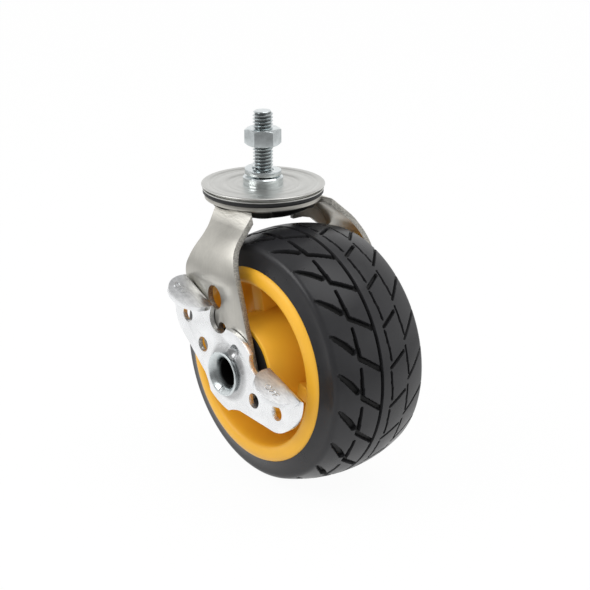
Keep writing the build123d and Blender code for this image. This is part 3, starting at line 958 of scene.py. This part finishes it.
def cut_away(made, height, below):
    """Cuts away what lies below a height, or what lies above it."""
    bmesh.ops.bisect_plane(
        made, geom=made.verts[:] + made.edges[:] + made.faces[:], plane_co=(0, 0, height),
        plane_no=(0, 0, 1), clear_inner=below, clear_outer=not below
    )


def close_holes(made):
    """Fills every hole in a mesh."""
    bmesh.ops.holes_fill(made, edges=[edge for edge in made.edges if edge.is_boundary])


def cut_rod(mesh, low, high):
    """The thread cut square at both ends and capped, with its upper end chamfered."""
    made = bmesh.new()
    made.from_mesh(mesh)
    cut_away(made, low, True)
    cut_away(made, high, False)
    for vertex in made.verts:
        limit = STEM_RADIUS - max(0.0, vertex.co.z - (high - STEM_CHAMFER))
        radius = hypot(vertex.co.x, vertex.co.y)
        if radius > limit:
            vertex.co.x *= limit / radius
            vertex.co.y *= limit / radius
    close_holes(made)
    bmesh.ops.recalc_face_normals(made, faces=made.faces)
    made.to_mesh(mesh)
    made.free()
    return mesh


class CASTOR_OT_stem(bpy.types.Operator):
    """Builds the threaded stem, its nut and its spring washer"""

    bl_idname = "castor.stem"
    bl_label = "Stem, nut and washer"

    def execute(self, context):
        pitch = size_settings().thread_pitch
        tree, sockets = repeat_tree("thread_along_stem", False)
        values = {
            "Count": ceil(STEM_TOP / pitch) + TURNS_BELOW + 1,
            "Step": pitch,
            "Centre": (0, 0, 0),
            "Material": material_once(bright_zinc),
        }
        thread = cut_rod(repeated(thread_turn(pitch), tree, sockets, values), THREAD_FOOT, STEM_TOP)
        shade(thread, SHARP_TURNED)
        new_piece("stem_thread", thread, "head", "bright_zinc", bright_zinc)
        body = merged_copy("stem")
        made = bmesh.new()
        made.from_mesh(body)
        cut_away(made, BODY_TOP, False)
        close_holes(made)
        made.to_mesh(body)
        made.free()
        shade(body, SHARP_TURNED)
        new_piece("stem_body", body, "head", "bright_zinc", bright_zinc, "stem")
        turned = merged_copy("hex_nut")
        turned.transform(Matrix.Rotation(radians(NUT_TURN), 4, "Z"))
        nut = bevelled(turned, STEEL_EDGE, NUT_EDGE_ANGLE)
        shade(nut, SHARP_PRESSED)
        new_piece("nut", nut, "head", "bright_zinc", bright_zinc, "hex_nut")
        coil = merged_copy("spring_washer")
        coil.transform(Matrix.Rotation(radians(WASHER_TURN), 4, "Z") @ Matrix.Scale(-1, 4, (0, 1, 0)))
        coil.flip_normals()
        washer = bevelled(coil, STEEL_EDGE, WASHER_EDGE_ANGLE)
        shade(washer, SHARP_PRESSED)
        new_piece("split_washer", washer, "head", "bright_zinc", bright_zinc, "spring_washer")
        return {"FINISHED"}


# Top plate: (radius, height, rounding) in mm, from its hole over its pressed rings and rim to its underside
PLATE_HOLE = 6.6
PLATE_UNDERSIDE = -8.4
PLATE_SECTION = [
    (PLATE_HOLE, -5.4, 0), (12.4, -5.4, 0.4), (14.8, -4.95, 1.2), (17.6, -5.4, 1.5), (20.0, -5.1, 1.2),
    (21.8, -5.4, 1.0), (23.0, -4.75, 0.7), (26.0, -4.5, 1.5), (29.0, -4.95, 1.5), (31.0, -4.65, 0.8),
    (32.0, -4.85, 0.5), (33.2, -4.3, 0.6), (36.3, -4.2, 0.5), (37.0, -4.85, 0.4), (36.5, -5.5, 0.3),
    (34.0, -5.5, 0), (34.0, -6.75, 0), (30.0, -6.75, 0), (30.0, PLATE_UNDERSIDE, 0),
]
# Half widths of the ball track at its mouth and its roof, in balls' radii
TRACK_MOUTH = 0.9
TRACK_ROOF = 0.5
SHIELD_EDGE = 0.1 * MM


def ball_track():
    """The end of the plate's section, with the track that the upper balls run in."""
    low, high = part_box("upper_balls")
    ball = (high.z - low.z) / 2 / MM
    circle = high.x / MM - ball
    roof = (high.z + EASE) / MM
    return [
        (circle + TRACK_MOUTH * ball, PLATE_UNDERSIDE, 0), (circle + TRACK_ROOF * ball, roof, 0),
        (circle - TRACK_ROOF * ball, roof, 0), (circle - TRACK_MOUTH * ball, PLATE_UNDERSIDE, 0),
        (PLATE_HOLE, PLATE_UNDERSIDE, 0),
    ]


class CASTOR_OT_head(bpy.types.Operator):
    """Finishes the top plate, its shield and seal, and the swivel bearing"""

    bl_idname = "castor.head"
    bl_label = "Head"

    def execute(self, context):
        section = rounded(PLATE_SECTION + ball_track(), steps=4)
        plate = lathe("plate", section, Vector((0, 0, 0)), along_y=False, steps=128)
        shade(plate, SHARP_RINGS)
        new_piece("plate", plate, "head", "satin_plate", satin_plate, "top_plate")
        shield = bevelled(merged_copy("dust_shield"), SHIELD_EDGE)
        shade(shield, SHARP_PRESSED)
        new_piece("shield", shield, "head", "satin_plate", satin_plate, "dust_shield")
        seal = merged_copy("dust_seal")
        shade(seal, SHARP_MOULDED)
        new_piece("seal", seal, "head", "seal_rubber", black_rubber, "dust_seal")
        for node in ("upper_balls", "lower_balls", "lower_race"):
            paint(node, ground_steel)
        return {"FINISHED"}


# Fork: the crown's bowl is drawn in towards its floor, and the roof's edge runs from a corner at each leg to
# the bowl. Roof and web are written in mm
# Tint of the roof's crumpled folds, lighter than the sheet: partly painted light
FOLD_TINT_WITH_PAINTED_LIGHT = (0.78, 0.76, 0.70)
BOWL_TOP = -13.7 * MM
BOWL_BOTTOM = -19.25 * MM
BOWL_RADIUS = 31.3 * MM
BOWL_FOOT = 24.0 * MM
BOWL_DRAW = 3.0 * MM
BOWL_DRAW_POWER = 1.4
BOWL_DRAW_END = 1.1
ARC_STEPS = 180
SHEET_EDGE_ANGLE = 35
ROOF_TOP = -13.28 * MM
ROOF_CUT = 11.0 * MM
ROOF_CORNER = (27.2, 29.85)
ROOF_MEETS_BOWL = 24.8
ROOF_REACH = 45.0
WEB_OUTLINE = [
    (20.5, -30.5), (28.0, -30.6), (35.0, -32.5), (44.0, -40.0), (49.3, -40.0), (45.2, -30.5), (40.5, -25.5),
    (29.5, -15.4), (20.5, -15.2),
]
WEB_BACK = 0.2 * MM
WEB_FRONT = 3.2 * MM
# The ends of the ramps of the fork's marks: painted shade in its bowl, its crumpled folds lightened with
# painted light, and painted shade on the webs
BOWL_SHADE_WALL = (31.5 * MM, 31.9 * MM)
BOWL_SHADE_RIM = (-14.6 * MM, -13.4 * MM)
FOLD_SIDE = (25 * MM, 28 * MM)
FOLD_FOOT = (-20.5 * MM, -17.0 * MM)
FOLD_TOP = (-13.0 * MM, -12.6 * MM)
WEB_SHADOW = (20 * MM, 42 * MM)
# Limits on the normal of a sheared face, across the legs and upwards
SHEARED_ACROSS = 0.3
SHEARED_UP = 0.97


def crown_corner():
    """The cutter that takes the roof away in front of a slanting line from each leg to the bowl."""
    arc = disc((0, 0), BOWL_RADIUS + EASE, ARC_STEPS)
    front = [(x, y) for x, y in arc if x > 0 and abs(y) < ROOF_MEETS_BOWL * MM]
    inner = sorted(front, key=lambda p: p[1])
    corner = tuple(v * MM for v in ROOF_CORNER)
    reach = ROOF_REACH * MM
    outline = [(corner[0], -corner[1])] + inner + [corner, (reach, corner[1]), (reach, -corner[1])]
    return prism(outline, Vector((0, 0, ROOF_TOP)), Vector((1, 0, 0)), Vector((0, 1, 0)), -ROOF_CUT, 0)


def leg_web(side):
    """The web that stiffens the back of a leg below the crown, on the side of positive or negative Y."""
    outline = [(y * side * MM, z * MM) for y, z in WEB_OUTLINE]
    flat = prism(outline, Vector((0, 0, 0)), Vector((0, 1, 0)), Vector((0, 0, 1)), WEB_BACK, WEB_FRONT)
    return bevelled(flat, size_settings().edge_round)


def is_sheared(face):
    """Whether a face of the fork lies on the legs' cut edges or in their holes."""
    on_leg = abs(face.center.y) > BOWL_FOOT
    return on_leg and abs(face.normal.y) < SHEARED_ACROSS and abs(face.normal.z) < SHEARED_UP


class CASTOR_OT_fork(bpy.types.Operator):
    """Builds the pressed fork with its rounded and sheared edges"""

    bl_idname = "castor.fork"
    bl_label = "Fork"

    def execute(self, context):
        sheet = merged_copy("fork")
        for vertex in sheet.vertices:
            away = hypot(vertex.co.x, vertex.co.y)
            sunk = (BOWL_TOP - vertex.co.z) / (BOWL_TOP - BOWL_BOTTOM)
            if BOWL_FOOT < away < BOWL_RADIUS + EASE and 0 < sunk < BOWL_DRAW_END:
                vertex.co.xy *= 1 - BOWL_DRAW * sunk ** BOWL_DRAW_POWER / away
        mesh = bevelled(carved(sheet, crown_corner()), size_settings().edge_round, SHEET_EDGE_ANGLE)
        shade(mesh, SHARP_PRESSED)
        mark_faces(mesh, "sheared", is_sheared)
        webs = joined("webs", leg_web(1), leg_web(-1))
        shade(webs, SHARP_PRESSED)
        new_piece("leg_webs", webs, "fork", "fork_nickel", dull_nickel)
        new_piece("fork_sheet", mesh, "fork", "fork_nickel", satin_fork, "fork")
        return {"FINISHED"}


# Axle tube: (radius, place along Y, rounding) in mm
TUBE_SECTION = [
    (7.9, -54.4, 1.5), (9.3, -58.3, 2.4), (12.3, -60.5, 0.9), (13.3, -60.2, 0.4), (12.9, -59.3, 0.5),
    (10.6, -58.9, 0.8), (10.0, -57.0, 0.5), (10.0, 51.6, 0.4), (10.4, 52.4, 0.5), (12.6, 52.9, 0.3),
    (12.9, 53.5, 0.3), (12.2, 53.85, 0.3), (8.8, 53.2, 0.8), (7.9, 51.0, 1.0),
]
# Slit in the flare: half its width in mm at two distances from the axle's line, its place and its depth
SLIT_SIDES = [(8.2, 0.35), (14, 0.6)]
SLIT_TURN = -105
SLIT_PLACE = -59.0 * MM
SLIT_HALF_DEPTH = 2.0 * MM
# The ends of the ramps of painted shade into the bore, along Y and outwards, and out of its mouth
BORE_SHADE_NEAR = (-57.4 * MM, -55.4 * MM)
BORE_SHADE_FAR = (50 * MM, 52 * MM)
BORE_SHADE_WALL = (8.0 * MM, 8.5 * MM)
MOUTH_SHADE = (8.5 * MM, 12.0 * MM)
BORE_SHADE_COLOUR = (0.02, 0.02, 0.02)


class CASTOR_OT_axle(bpy.types.Operator):
    """Finishes the axle tube and the parts on it"""

    bl_idname = "castor.axle"
    bl_label = "Axle"

    def execute(self, context):
        turned = lathe("axle_tube", rounded(TUBE_SECTION), Vector((AXLE.x, 0, AXLE.z)), along_y=True)
        slit_way = Vector((cos(radians(SLIT_TURN)), 0, sin(radians(SLIT_TURN))))
        one_side = [(away * MM, -half * MM) for away, half in SLIT_SIDES]
        other_side = [(away * MM, half * MM) for away, half in reversed(SLIT_SIDES)]
        slit = prism(
            one_side + other_side, Vector((AXLE.x, SLIT_PLACE, AXLE.z)), slit_way,
            Vector((0, 1, 0)).cross(slit_way), -SLIT_HALF_DEPTH, SLIT_HALF_DEPTH
        )
        tube = carved(turned, slit)
        shade(tube, SHARP_RINGS)
        new_piece("tube", tube, "fork", "axle_zinc", axle_zinc, "axle_tube")
        for end in ("near", "far"):
            paint("friction_washer_" + end, dark_steel)
            for node in ("bearing_inner_", "bearing_outer_", "bearing_balls_"):
                paint(node + end, ground_steel)
            paint("bearing_seal_" + end, black_rubber)
            paint("dust_cap_" + end, black_rubber)
        paint("bearing_spacer", ground_steel)
        return {"FINISHED"}


# Rim: half of its (radius, place along Y, rounding) section in mm, and a rib's (out, across) outline
RIM_SECTION = [
    (21.0, 30.8, 0), (23.5, 30.8, 0), (23.5, 44.8, 0), (25.5, 44.8, 0), (25.5, 46.0, 0.3), (28.0, 46.0, 0.9),
    (33.0, 6.0, 6.0), (46.0, 6.0, 8.0), (48.4, 35.6, 4.5), (50.6, 39.15, 2.6), (55.6, 38.9, 3.2),
    (58.75, 36.8, 1.4), (58.75, 33.6, 0), (57.3, 33.6, 0),
]
RIB_COUNT = 3
RIB_TURN = 103
RIB_HALF_LENGTH = 27 * MM
RIB_EDGE = 0.8 * MM
RIB_OUTLINE = [(24.5, -4.5), (50.0, -4.5), (50.0, 4.5), (24.5, 4.5)]


class CASTOR_OT_rim(bpy.types.Operator):
    """Finishes the moulded rim"""

    bl_idname = "castor.rim"
    bl_label = "Rim"

    def execute(self, context):
        whole = [(radius, -place, size) for radius, place, size in reversed(RIM_SECTION)] + RIM_SECTION
        centre = Vector((AXLE.x, 0, AXLE.z))
        turned = lathe("rim", rounded(whole), centre, along_y=True, steps=160)
        outline = [(r * MM, w * MM) for r, w in RIB_OUTLINE]
        ribs = []
        for i in range(RIB_COUNT):
            turn = radians(RIB_TURN + 360 / RIB_COUNT * i)
            way = Vector((cos(turn), 0, sin(turn)))
            across = Vector((0, 1, 0)).cross(way)
            rib = prism(outline, centre, way, across, -RIB_HALF_LENGTH, RIB_HALF_LENGTH)
            ribs.append(bevelled(rib, RIB_EDGE, segments=3))
        mesh = joined("rim", turned, *ribs)
        shade(mesh, SHARP_MOULDED)
        new_piece("rim", mesh, "wheel", "rim_yellow", rim_plastic, "wheel_rim")
        return {"FINISHED"}


# Brake lever: places in mm along the pedals and up its line of symmetry
LEVER_TILT = radians(66.7)
LEVER_UP = Vector((cos(LEVER_TILT), 0, sin(LEVER_TILT)))
LEVER_ALONG = Vector((sin(LEVER_TILT), 0, -cos(LEVER_TILT)))
PEDAL_LEVEL = 27.5 * MM
PEDAL_BEND = 3.3 * MM
PEDAL_BEND_STEPS = 6
PEDAL_FACING = 0.9
WING_HOLES = [(26.0, 0.0), (-26.0, 0.0), (45.4, 7.5), (-45.2, 7.5)]
WING_HOLE_RADIUS = 4.55 * MM
HOLE_CUT = (-1 * MM, 5 * MM)
# The ends of the ramp of painted shade round the collar, outwards from the axle
COLLAR_PAINTED_SHADE = (15.0 * MM, 18.0 * MM)
LEVER_FACE = 3.0 * MM
DIMPLE_LEVEL = 16.4 * MM
DIMPLE_RADIUS = 5.2 * MM
DIMPLE_OUT = 3.5 * MM
DIMPLE_STEPS = 40
PEDAL_MARKS = [("ON", -49.0, 9.0), ("OFF", 44.5, 9.7)]
MARK_SIZE = 6.4 * MM
MARK_HEIGHT = 0.35 * MM


def bend_pedals(mesh):
    """Rounds the folds along the pedals' back edges."""
    made = bmesh.new()
    made.from_mesh(mesh)
    folds = []
    for edge in made.edges:
        ends = [vertex.co - AXLE for vertex in edge.verts]
        on_level = all(abs(end.dot(LEVER_UP) - PEDAL_LEVEL) < EASE for end in ends)
        at_back = all(abs(vertex.co.y - LEVER_BACK) < EASE for vertex in edge.verts)
        if on_level and at_back:
            folds.append(edge)
    bmesh.ops.bevel(
        made, geom=folds, offset=PEDAL_BEND, segments=PEDAL_BEND_STEPS, affect="EDGES", profile=0.5,
        clamp_overlap=False
    )
    made.to_mesh(mesh)
    made.free()


def dimple_ball(origin):
    """The ball that presses the dimple above the collar."""
    made = bmesh.new()
    bmesh.ops.create_uvsphere(
        made, u_segments=DIMPLE_STEPS, v_segments=DIMPLE_STEPS // 2, radius=DIMPLE_RADIUS
    )
    place = origin + LEVER_UP * DIMPLE_LEVEL + Vector((0, -LEVER_FACE - DIMPLE_OUT, 0))
    bmesh.ops.translate(made, verts=made.verts, vec=place)
    mesh = bpy.data.meshes.new("dimple")
    made.to_mesh(mesh)
    made.free()
    return mesh


def pedal_mark(word, along, out):
    """A raised word on a pedal's top face."""
    text = bpy.data.curves.new("mark", "FONT")
    text.body = word
    text.size = MARK_SIZE
    text.extrude = MARK_HEIGHT
    text.align_x = "CENTER"
    text.align_y = "CENTER"
    holder = placed("mark_holder", text)
    mesh = evaluated_mesh(holder)
    bpy.data.objects.remove(holder)
    place = Vector((AXLE.x, LEVER_BACK - LEVER_FACE - out * MM, AXLE.z))
    place += LEVER_ALONG * along * MM + LEVER_UP * PEDAL_LEVEL
    axes = Matrix((LEVER_ALONG, Vector((0, 1, 0)), LEVER_UP)).transposed().to_4x4()
    mesh.transform(Matrix.Translation(place) @ axes)
    return mesh


def is_pedal_top(face):
    """Whether a face of the lever lies on a pedal's top, which the lever's finish darkens with scuffs and
    painted shade.
    """
    height = (face.center - AXLE).dot(LEVER_UP)
    return abs(height - PEDAL_LEVEL) < 3 * EASE and face.normal.dot(LEVER_UP) > PEDAL_FACING


class CASTOR_OT_lever(bpy.types.Operator):
    """Builds the brake lever with its pedals"""

    bl_idname = "castor.lever"
    bl_label = "Brake lever"

    def execute(self, context):
        sheet = merged_copy("brake_lever")
        bend_pedals(sheet)
        origin = Vector((AXLE.x, LEVER_BACK, AXLE.z))
        cutters = []
        for along, up in WING_HOLES:
            hole = disc((along * MM, up * MM), WING_HOLE_RADIUS)
            cutters.append(prism(hole, origin, LEVER_ALONG, LEVER_UP, *HOLE_CUT))
        cutters.append(dimple_ball(origin))
        mesh = bevelled(carved(sheet, *cutters), size_settings().edge_round, segments=3)
        marks = [pedal_mark(*mark) for mark in PEDAL_MARKS]
        mesh = joined("lever", mesh, *marks)
        shade(mesh, SHARP_PRESSED)
        mark_faces(mesh, "pedal", is_pedal_top)
        new_piece("lever", mesh, "brake_lever", "lever_zinc", lever_zinc, "brake_lever")
        return {"FINISHED"}


# Stage: the share of glow in the floor for the camera and for reflections, how grey the floor and the sky
# turn in reflections, and the places and sizes of the lamps
FLOOR_SEEN = 0.96
FLOOR_MIRRORED = 0.85
FLOOR_GREY = 0.30
FLOOR_GREY_START = 0.12
FLOOR_GREY_END = 0.38
FLOOR_FAR_START = 0.40
FLOOR_FAR_END = 0.75
FLOOR_FAR_GREY = 0.55
SKY_GREY = 0.50
SKY_GREY_RANGE = (0.28, 0.75)
DARK_RANGE = (0.20, 0.80)
DOME = 1.0
DARK_TURN = -18
FLOOR_HALF = 3.0
FLOOR_COLOUR = (0.82, 0.82, 0.82, 1)
WHITE = (1, 1, 1, 1)
KEY_PLACE = (-0.25, -0.9, 0.75)
KEY_SIZE = 0.7
TOP_PLACE = (0.35, 0.3, 1.0)
TOP_SIZE = 0.8


def aimed(name, data, place, target):
    """A new lamp or camera at a place, which faces a point."""
    holder = placed(name, data)
    holder.location = place
    holder.rotation_mode = "QUATERNION"
    holder.rotation_quaternion = (target - Vector(place)).to_track_quat("-Z", "Y")
    return holder


def add_light(name, place, target, size, power):
    """Adds a square area light that faces a point."""
    lamp = bpy.data.lights.new(name, "AREA")
    lamp.size = size
    lamp.energy = power
    aimed(name, lamp, place, target)


def camera_side():
    """The level direction from the castor towards the camera."""
    stage = bpy.context.scene.castor_stage
    side = Vector(stage.camera_place) - Vector(stage.camera_target)
    return Vector((side.x, side.y, 0)).normalized()


def dark_side():
    """The level direction of the studio's dark side, left of the camera."""
    return Matrix.Rotation(radians(DARK_TURN), 3, "Z") @ camera_side()


def camera_and_mirror(graph):
    """Numbers that are 1 for the camera's rays, and for rays that a mirror or a glass sends on."""
    path = graph.node("ShaderNodeLightPath")
    glossy = Number(graph, path.outputs["Is Glossy Ray"])
    mirrored = glossy.maths("MAXIMUM", Number(graph, path.outputs["Is Transmission Ray"]))
    return Number(graph, path.outputs["Is Camera Ray"]), mirrored


def floor_paint():
    """Pale floor that the camera sees nearly white, with the castor's shadow, and greyer in reflections."""
    material = bpy.data.materials.new("floor_paint")
    material.use_nodes = True
    graph = Graph(material.node_tree)
    material.node_tree.nodes.clear()
    camera, mirrored = camera_and_mirror(graph)
    place = graph.node("ShaderNodeTexCoord").outputs["Object"]
    ahead = graph.number(
        "ShaderNodeVectorMath", {"operation": "DOT_PRODUCT"}, {0: place, 1: tuple(camera_side())}, 1
    )
    grey = graph.between(ahead, FLOOR_GREY_START, FLOOR_GREY_END, 1.0, FLOOR_GREY)
    away = graph.number("ShaderNodeVectorMath", {"operation": "LENGTH"}, {0: place}, 1)
    far = graph.between(away, FLOOR_FAR_START, FLOOR_FAR_END, 1.0, FLOOR_FAR_GREY)
    strength = camera + (1 - camera) * grey * far
    matt = graph.node("ShaderNodeBsdfDiffuse", {}, {"Color": FLOOR_COLOUR})
    glow = graph.node("ShaderNodeEmission", {}, {"Color": WHITE, "Strength": strength})
    share = camera * FLOOR_SEEN + mirrored * FLOOR_MIRRORED
    mixed = graph.node("ShaderNodeMixShader", {}, {0: share, 1: matt.outputs[0], 2: glow.outputs[0]})
    graph.node("ShaderNodeOutputMaterial", {}, {0: mixed.outputs[0]})
    return material


def studio_world():
    """A plain studio: white round the castor, and in reflections softer overhead and grey at the camera."""
    world = bpy.data.worlds.new("studio")
    world.use_nodes = True
    world.node_tree.nodes.clear()
    graph = Graph(world.node_tree)
    direction = graph.node("ShaderNodeTexCoord").outputs["Generated"]
    height = graph.axes(direction)[2]
    facing = graph.number(
        "ShaderNodeVectorMath", {"operation": "DOT_PRODUCT"}, {0: direction, 1: tuple(dark_side())}, 1
    )
    sky = graph.between(height, *SKY_GREY_RANGE, 1.0, SKY_GREY)
    grey = graph.between(facing, *DARK_RANGE, 1.0, FLOOR_GREY)
    camera, mirrored = camera_and_mirror(graph)
    strength = camera + mirrored * sky * grey + (1 - camera - mirrored) * DOME
    ground = graph.node("ShaderNodeBackground", {}, {"Color": WHITE, "Strength": strength})
    graph.node("ShaderNodeOutputWorld", {}, {0: ground.outputs[0]})
    return world


class CASTOR_OT_stage(bpy.types.Operator):
    """Sets the floor, the light and the camera"""

    bl_idname = "castor.stage"
    bl_label = "Stage"

    def execute(self, context):
        stage = context.scene.castor_stage
        sides = ((-1, -1), (1, -1), (1, 1), (-1, 1))
        corners = [(x * FLOOR_HALF, y * FLOOR_HALF, GROUND) for x, y in sides]
        floor = placed("floor", mesh_from("floor", corners, [range(len(corners))]))
        floor.data.materials.append(floor_paint())
        context.scene.world = studio_world()
        target = Vector(stage.camera_target)
        add_light("key_light", KEY_PLACE, target, KEY_SIZE, stage.key_power)
        add_light("top_light", TOP_PLACE, target, TOP_SIZE, stage.fill_power)
        camera = bpy.data.cameras.new("camera")
        camera.lens = stage.lens
        context.scene.camera = aimed("camera", camera, stage.camera_place, target)
        context.scene.view_settings.view_transform = "Standard"
        return {"FINISHED"}


STEPS = ("stem", "head", "fork", "axle", "rim", "tyre", "lever", "stage")


class CASTOR_PT_panel(bpy.types.Panel):
    """Lists the castor's settings and the steps that build it"""

    bl_label = "Castor"
    bl_idname = "CASTOR_PT_panel"
    bl_space_type = "VIEW_3D"
    bl_region_type = "UI"
    bl_category = "Castor"

    def draw(self, context):
        for name in ("castor_finish", "castor_sizes", "castor_stage"):
            group = getattr(context.scene, name)
            box = self.layout.box()
            for key in group.bl_rna.properties.keys():
                if key not in ("rna_type", "name"):
                    box.prop(group, key)
        for step in STEPS:
            self.layout.operator("castor." + step)


CLASSES = (
    CastorFinish,
    CastorSizes,
    CastorStage,
    CASTOR_OT_stem,
    CASTOR_OT_head,
    CASTOR_OT_fork,
    CASTOR_OT_axle,
    CASTOR_OT_rim,
    CASTOR_OT_tyre,
    CASTOR_OT_lever,
    CASTOR_OT_stage,
    CASTOR_PT_panel,
)


def register():
    """Adds the classes and the scene's settings."""
    for item in CLASSES:
        bpy.utils.register_class(item)
    bpy.types.Scene.castor_finish = bpy.props.PointerProperty(type=CastorFinish)
    bpy.types.Scene.castor_sizes = bpy.props.PointerProperty(type=CastorSizes)
    bpy.types.Scene.castor_stage = bpy.props.PointerProperty(type=CastorStage)


def unregister():
    """Takes the settings and classes away."""
    for name in ("castor_finish", "castor_sizes", "castor_stage"):
        delattr(bpy.types.Scene, name)
    for item in reversed(CLASSES):
        bpy.utils.unregister_class(item)


def main():
    """Builds everything in order."""
    register()
    for step in STEPS:
        getattr(bpy.ops.castor, step)()


if __name__ == "__main__":
    main()
